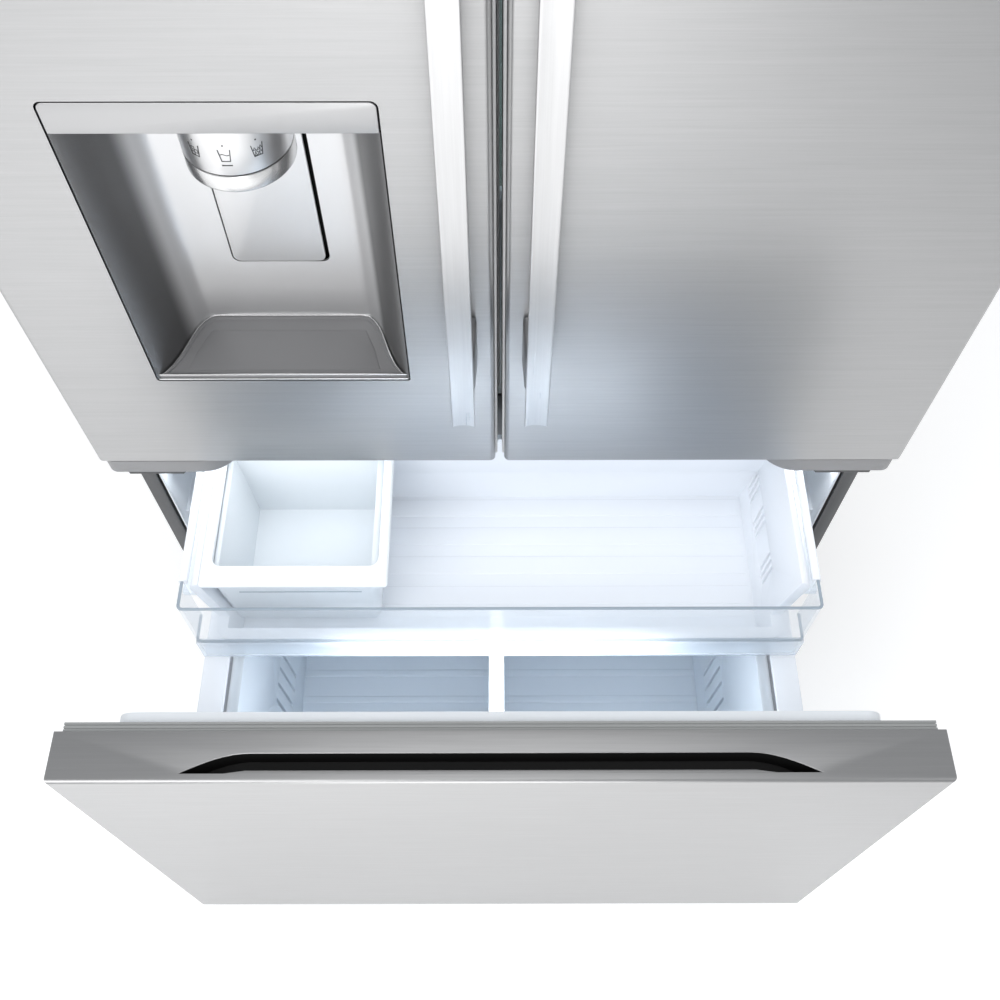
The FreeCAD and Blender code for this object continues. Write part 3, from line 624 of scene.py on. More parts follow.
def set_studio():
    """Soft lights round the object, small lamps in it, and a white backdrop."""
    scene = bpy.context.scene
    scene.view_settings.view_transform = "Standard"
    world = bpy.data.worlds.new("studio")
    scene.world = world
    world.use_nodes = True
    tree = world.node_tree
    ambient = tree.nodes["Background"]
    ambient.inputs["Color"].default_value = (0.95, 0.97, 1.0, 1.0)
    ambient.inputs["Strength"].default_value = 0.50
    backdrop = tree.nodes.new("ShaderNodeBackground")
    backdrop.inputs["Strength"].default_value = 1.0
    seen = tree.nodes.new("ShaderNodeLightPath")
    mixed = tree.nodes.new("ShaderNodeMixShader")
    tree.links.new(seen.outputs["Is Camera Ray"], mixed.inputs["Fac"])
    tree.links.new(ambient.outputs[0], mixed.inputs[1])
    tree.links.new(backdrop.outputs[0], mixed.inputs[2])
    tree.links.new(mixed.outputs[0], tree.nodes["World Output"].inputs["Surface"])

    soft_light("key", (-1.6, -2.6, 3.0), (0.0, 0.0, 0.8), (2.2, 2.2), 45.0)
    soft_light("fill", (2.4, -1.8, 2.6), (0.0, 0.0, 0.8), (1.6, 1.6), 8.0)
    soft_light("top", (0.0, -0.6, 3.4), (0.0, -0.3, 0.0), (1.5, 2.0), 8.5)
    soft_light("top_fill", (0.0, -0.9, 3.3), (0.0, -0.3, 0.0), (2.6, 2.0), 21.0)
    soft_light("back", (0.0, 3.2, 2.6), (0.0, 0.0, 0.9), (2.6, 2.0), 20.0)
    soft_light("front_softbox", (-0.15, -3.4, 1.1), (-0.1, 0.0, 1.1), (1.1, 2.2), 22.0)
    soft_light("freezer_lamp", (0.0, -0.13, 0.7145), (0.0, -0.13, 0.0), (0.86, 0.40), 0.38, INSIDE_WHITE)
    soft_light("basket_lamp", (0.0, -0.402, 0.60), (0.0, -0.402, 0.0), (0.40, 0.10), 1.05, INSIDE_WHITE)
    for side, name in ((-1, "side_lamp_left"), (1, "side_lamp_right")):
        soft_light(name, (side * 0.395, -0.085, 0.685), (side * 0.434, -0.12, 0.58), (0.02, 0.07), 0.32,
                   INSIDE_WHITE)
    soft_light("ice_lamp", (-0.24, -0.155, 0.713), (-0.24, -0.20, 0.54), (0.18, 0.05), 0.08, INSIDE_WHITE)
    soft_light("fridge_lamp", (0.0, 0.12, 1.715), (0.0, 0.10, 0.8), (0.7, 0.3), 2.4, (1.0, 0.98, 0.95))


def set_floor():
    """White floor whose glow is strongest in front of the object and fades to the right."""
    deselect_all()
    bpy.ops.mesh.primitive_plane_add(size=14.0, location=(0.0, 0.0, 0.0))
    floor = bpy.context.object
    floor.name = "studio_floor"
    finish = Finish("floor_white", (0.86, 0.86, 0.86), 0.9, Emission_Strength=0.36)
    right = finish.fade(finish.along("X"), -0.2, 1.3, 1.0, 0.30)
    ahead = finish.fade(0 - finish.along("Y"), 0.60, 1.05)
    glow = ahead * (right - 0.5) + 0.5
    finish.put("Emission Color", finish.mix(glow, (0.0, 0.0, 0.0, 1.0), (2.0, 2.0, 2.0, 1.0)))
    floor.data.materials.append(finish.material)


# ---- dispenser ----------------------------------------------------------------------
HOLE_LEFT, HOLE_RIGHT = -346.0 * MM, -90.0 * MM
HOLE_MIDDLE = (HOLE_LEFT + HOLE_RIGHT) / 2
FRAME_LOW, FRAME_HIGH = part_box("dispenser_housing")
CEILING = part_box("dispenser_fascia")[0].z
DRUM_AXIS = (-214.0 * MM, DOOR_FRONT + 46.0 * MM)
DRUM_RADIUS = 46.0 * MM
RECESS_BACK = 80.5 * MM                          # behind the doors' faces
POCKET_LEFT, POCKET_RIGHT = -262.0 * MM, -163.6 * MM
GROOVE = 1178.0 * MM                             # level of the drum's dark groove
ICON_TURN = 32.5                                 # degrees from the middle icon to its neighbours

# Half of the recess in plan: offset from the left edge of the hole, depth behind the door's face.
RECESS_SIDE = [(1.4, 0.6), (3.2, 1.6), (7.2, 5.4), (13.6, 14.6), (19.4, 26.5), (24.0, 40.0),
               (28.4, 53.0), (32.6, 63.5), (37.8, 72.0), (44.0, 78.0), (51.5, RECESS_BACK / MM)]


def recess_plan(inset=0.0):
    """Plan of the recess walls from the front left corner round to the front right one."""
    left = [(HOLE_LEFT + (x + inset) * MM, DOOR_FRONT + (y - inset * 0.4) * MM) for x, y in RECESS_SIDE]
    right = [(2 * HOLE_MIDDLE - x, y) for x, y in reversed(left)]
    return left + right


def recess_shell():
    """Curved recess walls with a pocket for the paddle, the lip in front, and the roof."""
    z_low, z_high = FRAME_LOW.z + 2.6 * MM, CEILING + 0.5 * MM
    walls = ribbon("dispenser_recess", [(x, y, z_low) for x, y in recess_plan()], (0, 0, z_high - z_low))
    apply_modifier(walls, "SUBSURF", levels=2, render_levels=2, boundary_smooth="PRESERVE_CORNERS")
    face_towards(walls, (HOLE_MIDDLE, DOOR_FRONT, 1.1))
    thicken(walls, 2.4 * MM)
    mouth = 1.6 * MM                             # the wall covers this much of the pocket on each side
    pocket = slab("pocket_cutter", (POCKET_LEFT + mouth, DOOR_FRONT + 60 * MM, 996.4 * MM),
                  (POCKET_RIGHT - mouth, DOOR_FRONT + 90 * MM, CEILING - 1.0 * MM))
    bevel(pocket, fore_and_aft, 8 * MM, 6)
    cut(walls, pocket)
    finish_piece(walls, "left_door", RECESS_METAL_PAINTED_SHADE, ("dispenser_housing",), 40)

    lip = slab("dispenser_lip", (HOLE_LEFT + 1.4 * MM, DOOR_FRONT + 0.3 * MM, FRAME_LOW.z + 1.0 * MM),
               (HOLE_RIGHT - 1.4 * MM, DOOR_FRONT + 7 * MM, FRAME_LOW.z + 3.0 * MM))
    bevel(lip, lambda p, d: abs(d.z) > 0.9 and p.y < DOOR_FRONT + 1 * MM, 2.2 * MM, 4)
    soften(lip, 0.5 * MM)
    finish_piece(lip, "left_door", RIM_METAL)

    pocket = slab("paddle_pocket", (POCKET_LEFT, DOOR_FRONT + RECESS_BACK + 2.2 * MM, 990 * MM),
                  (POCKET_RIGHT, FRAME_HIGH.y - 1 * MM, CEILING))
    inset_push(pocket, facing_front, 1.4 * MM, (0, 14.2 * MM, 0))
    finish_piece(pocket, "left_door", BLACK)

    roof = slab("dispenser_roof", (HOLE_LEFT + 3 * MM, DOOR_FRONT + 7 * MM, CEILING + 0.6 * MM),
                (HOLE_RIGHT - 3 * MM, FRAME_HIGH.y - 10 * MM, CEILING + 4 * MM))
    inset_push(roof, facing_down, 9 * MM, (0, 0, 1.2 * MM))
    finish_piece(roof, "left_door", CAP_GREY)


def fascia():
    """Plain panel over the recess."""
    low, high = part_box("dispenser_fascia")
    panel = slab("dispenser_fascia_panel", (HOLE_LEFT + 1.4 * MM, low.y, low.z),
                 (HOLE_RIGHT - 1.4 * MM, high.y, FRAME_HIGH.z - 1.4 * MM))
    bevel(panel, lambda p, d: abs(d.y) > 0.9 and p.z > high.z, 5.5 * MM, 6)
    soften(panel, 0.7 * MM, 3)
    finish_piece(panel, "left_door", FASCIA_METAL, ("dispenser_fascia",))


def nozzle():
    """Rotary selector: a drum with a step, a dark groove and a plain ring under it."""
    x, y = DRUM_AXIS
    low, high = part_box("drum_band")[0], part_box("nozzle_drum")[1]
    back = high.y
    barrel = drum("selector_drum", DRUM_AXIS, DRUM_RADIUS, GROOVE + 1.2 * MM, CEILING + 0.4 * MM, 96)
    bevel(barrel, lambda p, d: abs(p.z - GROOVE - 1.2 * MM) < 1e-5, 1.0 * MM, 3)
    slice_off(barrel, (x, back, 1.2), (0, 1, 0))
    finish_piece(barrel, "left_door", DRUM_METAL, ("nozzle_drum",))

    neck = drum("selector_groove", DRUM_AXIS, DRUM_RADIUS - 1.6 * MM, GROOVE - 2 * MM, GROOVE + 3 * MM, 96)
    bevel(neck, level, 0.3 * MM, 1)
    slice_off(neck, (x, back, 1.2), (0, 1, 0))
    finish_piece(neck, "left_door", BLACK)

    ring = drum("selector_ring", DRUM_AXIS, DRUM_RADIUS, low.z, GROOVE, 96)
    inset_push(ring, facing_down, 12 * MM, (0, 0, 3 * MM))
    inset_push(ring, lambda p, n: n.z < -0.9 and p.z > low.z + 1 * MM and abs(p.x - x) < 1e-3, 8 * MM,
               (0, 0, 4 * MM))
    bevel(ring, lambda p, d: abs(d.z) < 0.1 and abs(p.z - low.z) < 1e-5
          and math.hypot(p.x - x, p.y - y) > DRUM_RADIUS - 1 * MM, 2.4 * MM, 4)
    bevel(ring, lambda p, d: abs(d.z) < 0.1 and abs(p.z - GROOVE) < 1e-5, 0.5 * MM, 2)
    slice_off(ring, (x, back, 1.2), (0, 1, 0))
    finish_piece(ring, "left_door", RIM_METAL, ("drum_band",))


def icon_stroke(points, width=0.75 * MM):
    """One printed line of an icon, as a thin raised strip that follows points in the front plane."""
    stroke = ribbon("stroke", points, (0, 0.9 * MM, 0))
    face_towards(stroke, (0, 0, 0))
    thicken(stroke, width)
    return stroke


def cup_icon(name, degrees, filling):
    """A tumbler outline with a dot above it, turned into place on the drum."""
    x, y = DRUM_AXIS
    front = y - DRUM_RADIUS - 0.10 * MM
    base, rim = 1193.8 * MM, 1205.2 * MM

    def spot(across, z):
        return (x + across * MM, front, z)

    strokes = [icon_stroke([spot(-5.2, rim), spot(-3.7, base), spot(3.7, base), spot(5.2, rim)])]
    if filling == "water":
        strokes.append(icon_stroke([spot(-3.6, base + 6.4 * MM), spot(-1.8, base + 7.0 * MM),
                                    spot(0, base + 6.2 * MM), spot(1.8, base + 5.6 * MM),
                                    spot(3.6, base + 6.2 * MM)], 0.6 * MM))
    corners = {"cubes": ((-1.6, 2.6, 2.6), (1.5, 4.9, 2.6), (-1.4, 7.4, 2.4)),
               "crushed": ((-2.0, 2.0, 1.5), (0.6, 2.3, 1.5), (2.2, 4.4, 1.5), (-1.2, 4.9, 1.5),
                           (0.8, 6.8, 1.5), (-2.4, 7.4, 1.5), (2.8, 7.9, 1.5)),
               "water": ()}[filling]
    for across, up, size in corners:
        half = size / 2
        z = base + up * MM
        if filling == "cubes":
            loop = [(-half, -half), (half, -half), (half, half), (-half, half), (-half, -half)]
        else:
            loop = [(-half, -half), (half, -half), (0, half), (-half, -half)]
        strokes.append(icon_stroke([spot(across + dx, z + dz * MM) for dx, dz in loop], 0.45 * MM))
    if filling == "water":
        strokes.append(icon_stroke([spot(-4.2, 1189.5 * MM), spot(4.2, 1189.5 * MM)], 0.9 * MM))
    dot = slab("dot", (x - 0.7 * MM, front, 1208.8 * MM), (x + 0.7 * MM, front + 0.9 * MM, 1210.2 * MM))
    bevel(dot, fore_and_aft, 0.5 * MM, 3)
    icon = joined(name, strokes + [dot])
    turn_about(icon, (x, y, 0), degrees)
    finish_piece(icon, "left_door", INK)


def paddle():
    """Thin plate that swings on a pivot at its top."""
    low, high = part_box("dispenser_paddle")
    face = DOOR_FRONT + RECESS_BACK - 1.6 * MM
    plate = slab("paddle_plate", (low.x, face, low.z), (high.x, face + 3 * MM, high.z))
    bevel(plate, fore_and_aft, 7.5 * MM, 6)
    soften(plate, 0.9 * MM, 3)
    finish_piece(plate, "paddle", PADDLE_METAL, ("dispenser_paddle",))
    hinge = drum("paddle_pivot", (0, 0), 2.6 * MM, -44 * MM, 44 * MM, 24)
    bevel(hinge, lambda p, d: abs(d.z) < 0.5, 0.5 * MM, 2)
    lay_along_x(hinge, ((low.x + high.x) / 2, face + 6.6 * MM, high.z - 6 * MM))
    finish_piece(hinge, "paddle", BLACK)


def offset_outline(points, distance):
    """Move a closed outline inwards by a distance, corner by corner."""
    area = sum(x0 * y1 - x1 * y0 for (x0, y0), (x1, y1) in zip(points, points[1:] + points[:1]))
    side = 1.0 if area > 0 else -1.0
    moved = []
    for before, here, after in zip(points[-1:] + points[:-1], points, points[1:] + points[:1]):
        first = (Vector(here) - Vector(before)).normalized()
        last = (Vector(after) - Vector(here)).normalized()
        inward = (Vector((-first.y, first.x)) + Vector((-last.y, last.x))) * side
        inward.normalize()
        reach = distance / max(0.35, inward.dot(Vector((-first.y, first.x)) * side))
        moved.append((here[0] + inward.x * reach, here[1] + inward.y * reach))
    return moved


def drip_tray():
    """Bright rim, dark pan with a sloped wall, and a flat insert."""
    low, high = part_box("drip_tray")
    front = DOOR_FRONT + 1.8 * MM
    outer = [(x, y) for x, y in recess_plan(0.9) if y > front]
    outer = [(HOLE_LEFT + 3.4 * MM, front)] + outer + [(HOLE_RIGHT - 3.4 * MM, front)]
    rim = prism("drip_tray_rim", [(x, y, high.z - 1.6 * MM) for x, y in outer], (0, 0, 1.6 * MM))
    inner = offset_outline(outer, 1.5 * MM)
    cut(rim, prism("cutter", [(x, y, high.z - 9 * MM) for x, y in inner], (0, 0, 20 * MM)))
    soften(rim, 0.5 * MM, 3)
    finish_piece(rim, "drip_tray", RIM_METAL)

    pan = prism("drip_tray_pan", [(x, y, low.z) for x, y in offset_outline(outer, 0.2 * MM)],
                (0, 0, high.z - low.z - 1.4 * MM))
    well = prism("cutter", [(x, y, low.z + 1.2 * MM) for x, y in inner], (0, 0, 9 * MM))
    floor_z = low.z + 1.2 * MM
    widen(well, lambda p: p.z < floor_z + 1e-5, (0.972, 0.93, 1.0),
          (HOLE_MIDDLE, DOOR_FRONT + 42 * MM, floor_z))
    cut(pan, well)
    soften(pan, 0.5 * MM, 3)
    finish_piece(pan, "drip_tray", TRAY_GREY, ("drip_tray",))

    half = [(48.4, 61.0), (38.0, 36.0), (31.0, 10.0)]
    corners = [(HOLE_LEFT + x * MM, DOOR_FRONT + y * MM) for x, y in half]
    corners += [(2 * HOLE_MIDDLE - x, y) for x, y in reversed(corners)]
    insert = prism("drip_tray_insert", [(x, y, floor_z - 0.3 * MM) for x, y in corners], (0, 0, 0.9 * MM))
    bevel(insert, upright, 4 * MM, 4)
    soften(insert, 0.4 * MM, 2)
    finish_piece(insert, "drip_tray", TRAY_GREY)


# ---- handles ------------------------------------------------------------------------
def handle():
    """Flat bar with a slightly hollow lower end, on two tapered brackets."""
    low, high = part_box("left_handle")
    width = high.x - low.x
    hollow = 3.2 * MM
    steps = 8
    ends = []
    for step in range(steps + 1):
        across = step / steps
        ends.append((low.x + width * across, hollow * (1 - (2 * across - 1) ** 2)))
    outline = [(x, low.y, low.z + dip) for x, dip in ends]
    outline += [(x, low.y, high.z - dip) for x, dip in reversed(ends)]
    bar = prism("left_handle_bar", outline, (0, high.y - low.y - 4.5 * MM, 0))
    soften(bar, 1.0 * MM, 3)
    # A dark grey strip along the back of each bar: painted shade standing in for the shadowed inner side of
    # the bar.
    liner = slab("left_handle_shade_strip", (low.x + 0.5 * MM, high.y - 5 * MM, low.z + 3 * MM),
                 (high.x - 0.5 * MM, high.y, high.z - 3 * MM))
    bevel(liner, lambda p, d: abs(d.z) > 0.9 and p.y > high.y - 1e-5, 1.5 * MM, 3)
    inset_push(liner, lambda p, n: n.y > 0.99, 3 * MM, (0, -1 * MM, 0))
    finish_piece(liner, "left_door", HANDLE_PAINTED_SHADE_GREY)
    finish_piece(mirrored(liner, "right_handle_shade_strip"), "right_door", HANDLE_PAINTED_SHADE_GREY)
    finish_piece(bar, "left_door", HANDLE_STEEL, ("left_handle",))

    bracket_low, bracket_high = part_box("left_handle_brackets")
    length = 70 * MM
    shanks = []
    for base in (bracket_low.z, bracket_high.z - length):
        shank = slab("shank", (bracket_low.x, high.y - 1 * MM, base),
                     (bracket_high.x, bracket_high.y, base + length))
        widen(shank, lambda p: p.y < high.y, (0.82, 1.0, 0.72),
              ((bracket_low.x + bracket_high.x) / 2 - 1.5 * MM, high.y, base + length / 2))
        bevel(shank, lambda p, d: abs(d.y) > 0.8, 4 * MM, 4)
        inset_push(shank, lambda p, n: n.y > 0.9, 2 * MM, (0, -0.8 * MM, 0))
        soften(shank, 0.8 * MM)
        shanks.append(shank)
    brackets = joined("left_handle_shanks", shanks)
    finish_piece(brackets, "left_door", BRACKET_METAL, ("left_handle_brackets",))

    finish_piece(mirrored(bar, "right_handle_bar"), "right_door", HANDLE_STEEL,
                 ("right_handle",))
    finish_piece(mirrored(brackets, "right_handle_shanks"), "right_door", BRACKET_METAL,
                 ("right_handle_brackets",))


# ---- steel skins --------------------------------------------------------------------
def folded_skin(name, low, high, radius, all_round):
    """A steel panel folded back at its edges, open at the back."""
    skin = slab(name, low, high)
    front = low[1]
    bevel(skin, lambda p, d: abs(d.y) < 0.1 and p.y < front + 1e-5
          and (all_round or abs(d.z) > 0.9), radius, 6)
    inset_push(skin, facing_back, 1.4 * MM, (0, front + 2.0 * MM - high[1], 0))
    return skin


def door_skins():
    """Both door panels. The left one has the dispenser's opening."""
    low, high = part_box("left_door_skin")
    left = folded_skin("left_door_panel", low, high, 6 * MM, False)
    right = mirrored(left, "right_door_panel")
    finish_piece(right, "right_door", STEEL, ("right_door_skin",))
    opening = slab("opening_cutter", (HOLE_LEFT, low.y - 0.1, FRAME_LOW.z),
                   (HOLE_RIGHT, low.y + 0.01, FRAME_HIGH.z))
    bevel(opening, lambda p, d: abs(d.y) > 0.9 and p.z > 1.1, 6.5 * MM, 6)
    bevel(opening, lambda p, d: abs(d.y) > 0.9 and p.z < 1.1, 3.0 * MM, 5)
    cut(left, opening)
    finish_piece(left, "left_door", STEEL, ("left_door_skin",))


# ---- drawer and freezer -------------------------------------------------------------
def tub(name, low, high, wall, foot, radius, floor_radius):
    """An open container: sides that taper to the foot, rounded corners and an even wall."""
    low, high = Vector(low), Vector(high)
    middle = (low + high) / 2
    size = high - low
    piece = slab(name, low, high)
    share = (1 - 2 * foot[0] / size.x, 1 - 2 * foot[1] / size.y, 1.0)
    widen(piece, lambda p: p.z < middle.z, share, (middle.x, middle.y, low.z))
    bevel(piece, lambda p, d: abs(d.z) > 0.8, radius, 5)
    pick(piece, "face", lambda p, n: n.z > 0.9)
    bpy.ops.mesh.inset(thickness=wall)
    depth = size.z - wall
    bpy.ops.mesh.extrude_region_move(TRANSFORM_OT_translate={"value": (0, 0, -depth)})
    bpy.ops.transform.resize(value=share, center_override=(middle.x, middle.y, low.z + wall))
    done()
    bevel(piece, lambda p, d: abs(d.z) < 0.1 and p.z < low.z + wall + 1e-5, floor_radius, 4)
    return piece


def rib_row(name, low, high, step, count, along):
    """Low rounded ribs in a row, as one piece. Step moves from each one to the next."""
    low, high = Vector(low), Vector(high)
    first = slab(name, low, high)
    bevel(first, lambda p, d: abs(d[along]) > 0.9 and p.z > (low.z + high.z) / 2, (high.z - low.z) * 0.8, 3)
    ribs = [first]
    for number in range(1, count):
        rib = duplicate(first)
        rib.location = Vector(step) * number
        ribs.append(rib)
    deselect_all()
    for rib in ribs:
        rib.select_set(True)
    bpy.context.view_layer.objects.active = first
    settle()
    return joined(name, ribs)


def slanted_slots(x_low, x_high, places, width, z_low, z_high, lean):
    """Cutters for upright slots in a side wall. Each leans forward by so much at its foot."""
    slots = []
    for y in places:
        slot = slab("cutter", (x_low, y, z_low), (x_high, y + width, z_high))
        shift(slot, lambda p: p.z < (z_low + z_high) / 2, (0, -lean, 0))
        bevel(slot, crosswise, width * 0.45, 4)
        slots.append(slot)
    return joined("cutter", slots)


def side_rims(name, half, low_y, high, depth, radius, hollow, body):
    """Rolled rim along each side of a container, hollow underneath."""
    for side, which in ((-1, "_left"), (1, "_right")):
        inner, outer = side * (half - 1 * MM), side * high.x
        rim = slab(name + which, (min(inner, outer), low_y, high.z - depth),
                   (max(inner, outer), high.y, high.z))
        bevel(rim, fore_and_aft, radius, 3)
        inset_push(rim, facing_down, 2 * MM, (0, 0, hollow))
        finish_piece(rim, body, TRAY_WHITE)


def inner_drawer():
    """White tray with slots in its sides, raised bands on its floor, and a lip under the clear pane."""
    low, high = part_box("inner_tray")
    half_top, half_floor = 364 * MM, 336 * MM
    floor_top = low.z + 3 * MM
    tray = tub("inner_tray_shell", (-half_top, low.y + 4 * MM, low.z), (half_top, high.y, high.z), 3 * MM,
               (half_top - half_floor, 2.5 * MM), 16 * MM, 9 * MM)
    front_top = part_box("inner_front")[0].z
    opening = slab("cutter", (-400 * MM, low.y - 1 * MM, front_top),
                   (400 * MM, low.y + 36 * MM, high.z + 1 * MM))
    cut(tray, opening)
    for side in (-1, 1):
        walls = sorted((side * 310 * MM, side * 372 * MM))
        places = []
        for group in (-128, -180, -247):
            places += [(group + step) * MM for step in (0, 10, 20)]
        cut(tray, slanted_slots(walls[0], walls[1], places, 5.0 * MM, 566 * MM, 600 * MM, 7 * MM))
    soften(tray, 0.8 * MM)
    finish_piece(tray, "inner_drawer", TRAY_WHITE, ("inner_tray",))

    side_rims("inner_tray_rim", half_top, low.y + 41 * MM, high, 8 * MM, 2.4 * MM, 4 * MM,
              "inner_drawer")

    ribs = rib_row("inner_tray_ribs", (-318 * MM, low.y + 26 * MM, floor_top - 1 * MM),
                   (318 * MM, low.y + 52 * MM, floor_top + 0.7 * MM), (0, 43 * MM, 0), 5, 0)
    finish_piece(ribs, "inner_drawer", TRAY_WHITE)

    half_lip = 368 * MM
    lip = slab("inner_tray_lip", (-half_lip, low.y, low.z), (half_lip, low.y + 6 * MM, front_top - 0.2 * MM))
    inset_push(lip, facing_front, 5 * MM, (0, 1.2 * MM, 0))
    soften(lip, 1.0 * MM, 3)
    finish_piece(lip, "inner_drawer", TRAY_LIP)


def clear_guard():
    """Clear pane with short wings. Its cut edges look darker than its faces."""
    low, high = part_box("inner_front")
    wall = 3.6 * MM

    def outline(grow, z):
        """Wing, rounded corner, front, rounded corner and wing, moved inwards by so much."""
        radius = 7 * MM - grow
        points = []
        for x, inward, angles in ((low.x, 1, range(0, 91, 18)), (high.x, -1, range(90, -1, -18))):
            x = x + inward * grow
            bend = [(x + inward * radius * (1 - math.cos(math.radians(angle))),
                     low.y + grow + radius * (1 - math.sin(math.radians(angle))), z) for angle in angles]
            points += [(x, high.y, z)] + bend if inward > 0 else bend + [(x, high.y, z)]
        return points

    def band(name, z_low, z_high, skim):
        outer = outline(skim, z_low)
        inner = outline(wall - skim, z_low)
        return prism(name, outer + inner[::-1], (0, 0, z_high - z_low))

    pane = band("clear_guard_pane", low.z, high.z - 0.9 * MM, 0.0)
    finish_piece(pane, "inner_drawer", GUARD_CLEAR, ("inner_front",))
    edge = band("clear_guard_top_edge", high.z - 0.9 * MM, high.z, 0.0)
    soften(edge, 0.3 * MM)
    finish_piece(edge, "inner_drawer", GUARD_EDGE)
    seam = band("clear_guard_foot", low.z - 0.1 * MM, low.z + 1.6 * MM, 0.2 * MM)
    soften(seam, 0.3 * MM)
    finish_piece(seam, "inner_drawer", GUARD_EDGE)


def ice_box():
    """Frosted bin with a broad flat rim."""
    low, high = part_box("ice_bin")
    rim = slab("ice_bin_rim", (low.x, low.y, high.z - 9 * MM), high)
    bevel(rim, upright, 9 * MM, 5)
    mouth = slab("cutter", (low.x + 13 * MM, low.y + 26 * MM, high.z - 20 * MM),
                 (high.x - 12 * MM, high.y - 11 * MM, high.z + 5 * MM))
    bevel(mouth, upright, 11 * MM, 5)
    cut(rim, mouth)
    soften(rim, 1.6 * MM, 3)
    finish_piece(rim, "ice_bin", BIN_RIM)

    body = tub("ice_bin_body", (low.x + 9 * MM, low.y + 9 * MM, low.z),
               (high.x - 9 * MM, high.y - 9 * MM, high.z - 6 * MM),
               3.0 * MM, (10 * MM, 6 * MM), 12 * MM, 14 * MM)
    finish_piece(body, "ice_bin", FROSTED, ("ice_bin",))

    ridge = slab("ice_bin_ridge", (low.x + 40 * MM, low.y + 10.2 * MM, high.z - 40 * MM),
                 (high.x - 34 * MM, low.y + 13.5 * MM, high.z - 37 * MM))
    bevel(ridge, crosswise, 1.2 * MM, 3)
    finish_piece(ridge, "ice_bin", GUARD_EDGE)


def basket():
    """Deep basket with slots in its sides, ribs on its floor, and a divider."""
    low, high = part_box("lower_basket")
    half = 341 * MM
    body = tub("basket_shell", (-half, low.y, low.z), (half, high.y, high.z), 3 * MM, (3 * MM, 3 * MM),
               24 * MM, 16 * MM)
    for side in (-1, 1):
        walls = sorted((side * 295 * MM, side * 352 * MM))
        places = [(-312 + 24 * number) * MM for number in range(4)]
        cut(body, slanted_slots(walls[0], walls[1], places, 5.5 * MM, 194 * MM, 314 * MM, -9 * MM))
    soften(body, 0.8 * MM)
    finish_piece(body, "freezer_drawer", BASKET_BLUE, ("lower_basket",))
    side_rims("basket_rim", half, low.y, high, 6 * MM, 2.0 * MM, 2.5 * MM, "freezer_drawer")
    ribs = rib_row("basket_floor_ribs", (-318 * MM, low.y + 40 * MM, low.z + 2 * MM),
                   (318 * MM, low.y + 52 * MM, low.z + 4.5 * MM), (0, 45 * MM, 0), 7, 0)
    finish_piece(ribs, "freezer_drawer", BASKET_BLUE)

    low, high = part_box("basket_divider")
    wall = slab("basket_divider_wall", low, high)
    bevel(wall, lambda p, d: abs(d.y) > 0.9 and p.z > low.z + 0.1, 3 * MM, 4)
    for face in (-1, 1):
        inset_push(wall, lambda p, n: n.x * face > 0.999, 12 * MM, (-face * 2.5 * MM, 0, 0))
    soften(wall, 0.8 * MM)
    finish_piece(wall, "freezer_drawer", TRAY_WHITE, ("basket_divider",))


def seal_ring(name, node, body, material, width, groove):
    """Soft seal round a door: a frame with a groove along its back and two folds round its edge."""
    low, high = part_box(node)
    ring = slab(name, low, high)
    inner = slab("cutter", (low.x + width, low.y - 1 * MM, low.z + width),
                 (high.x - width, high.y + 1 * MM, high.z - width))
    cut(ring, inner)
    middle = (width - groove) / 2
    outer = slab("cutter", (low.x + middle, high.y - 3 * MM, low.z + middle),
                 (high.x - middle, high.y + 1 * MM, high.z - middle))
    core = slab("core", (low.x + middle + groove, high.y - 4 * MM, low.z + middle + groove),
                (high.x - middle - groove, high.y + 2 * MM, high.z - middle - groove))
    cut(outer, core)
    cut(ring, outer)
    for depth in (0.34, 0.70):
        y = low.y + (high.y - low.y) * depth
        band = slab("cutter", (low.x - 1 * MM, y - 0.6 * MM, low.z - 1 * MM),
                    (high.x + 1 * MM, y + 0.6 * MM, high.z + 1 * MM))
        core = slab("core", (low.x + 1 * MM, y - 2 * MM, low.z + 1 * MM),
                    (high.x - 1 * MM, y + 2 * MM, high.z - 1 * MM))
        cut(band, core)
        cut(ring, band)
    finish_piece(ring, body, material, (node,), 20)


def painted_highlight_strips():
    """Light grey strip down the inner edge of each door, in the gap between them: a painted highlight that
    stands in for the lit inner sides of the doors.
    """
    low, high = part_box("left_door_skin")
    strip = slab("left_edge_highlight_strip", (high.x - 0.5 * MM, DOOR_FRONT + 9 * MM, low.z + 2 * MM),
                 (high.x + 2.4 * MM, DOOR_FRONT + 40 * MM, high.z - 2 * MM))
    bevel(strip, lambda p, d: abs(d.z) > 0.9 and p.x > high.x, 1.4 * MM, 4)
    inset_push(strip, lambda p, n: n.x > 0.99, 6 * MM, (-0.8 * MM, 0, 0))
    finish_piece(strip, "left_door", STRIP_PAINTED_HIGHLIGHT)
    finish_piece(mirrored(strip, "right_edge_highlight_strip"), "right_door", STRIP_PAINTED_HIGHLIGHT)


def seals():
    painted_highlight_strips()
    for body in ("left_door", "right_door"):
        seal_ring(body + "_seal", body + "_gasket", body, SEAL_GREY, 20 * MM, 6 * MM)
    seal_ring("drawer_seal", "drawer_gasket", "freezer_drawer", SEAL_LIGHT, 6 * MM, 2 * MM)


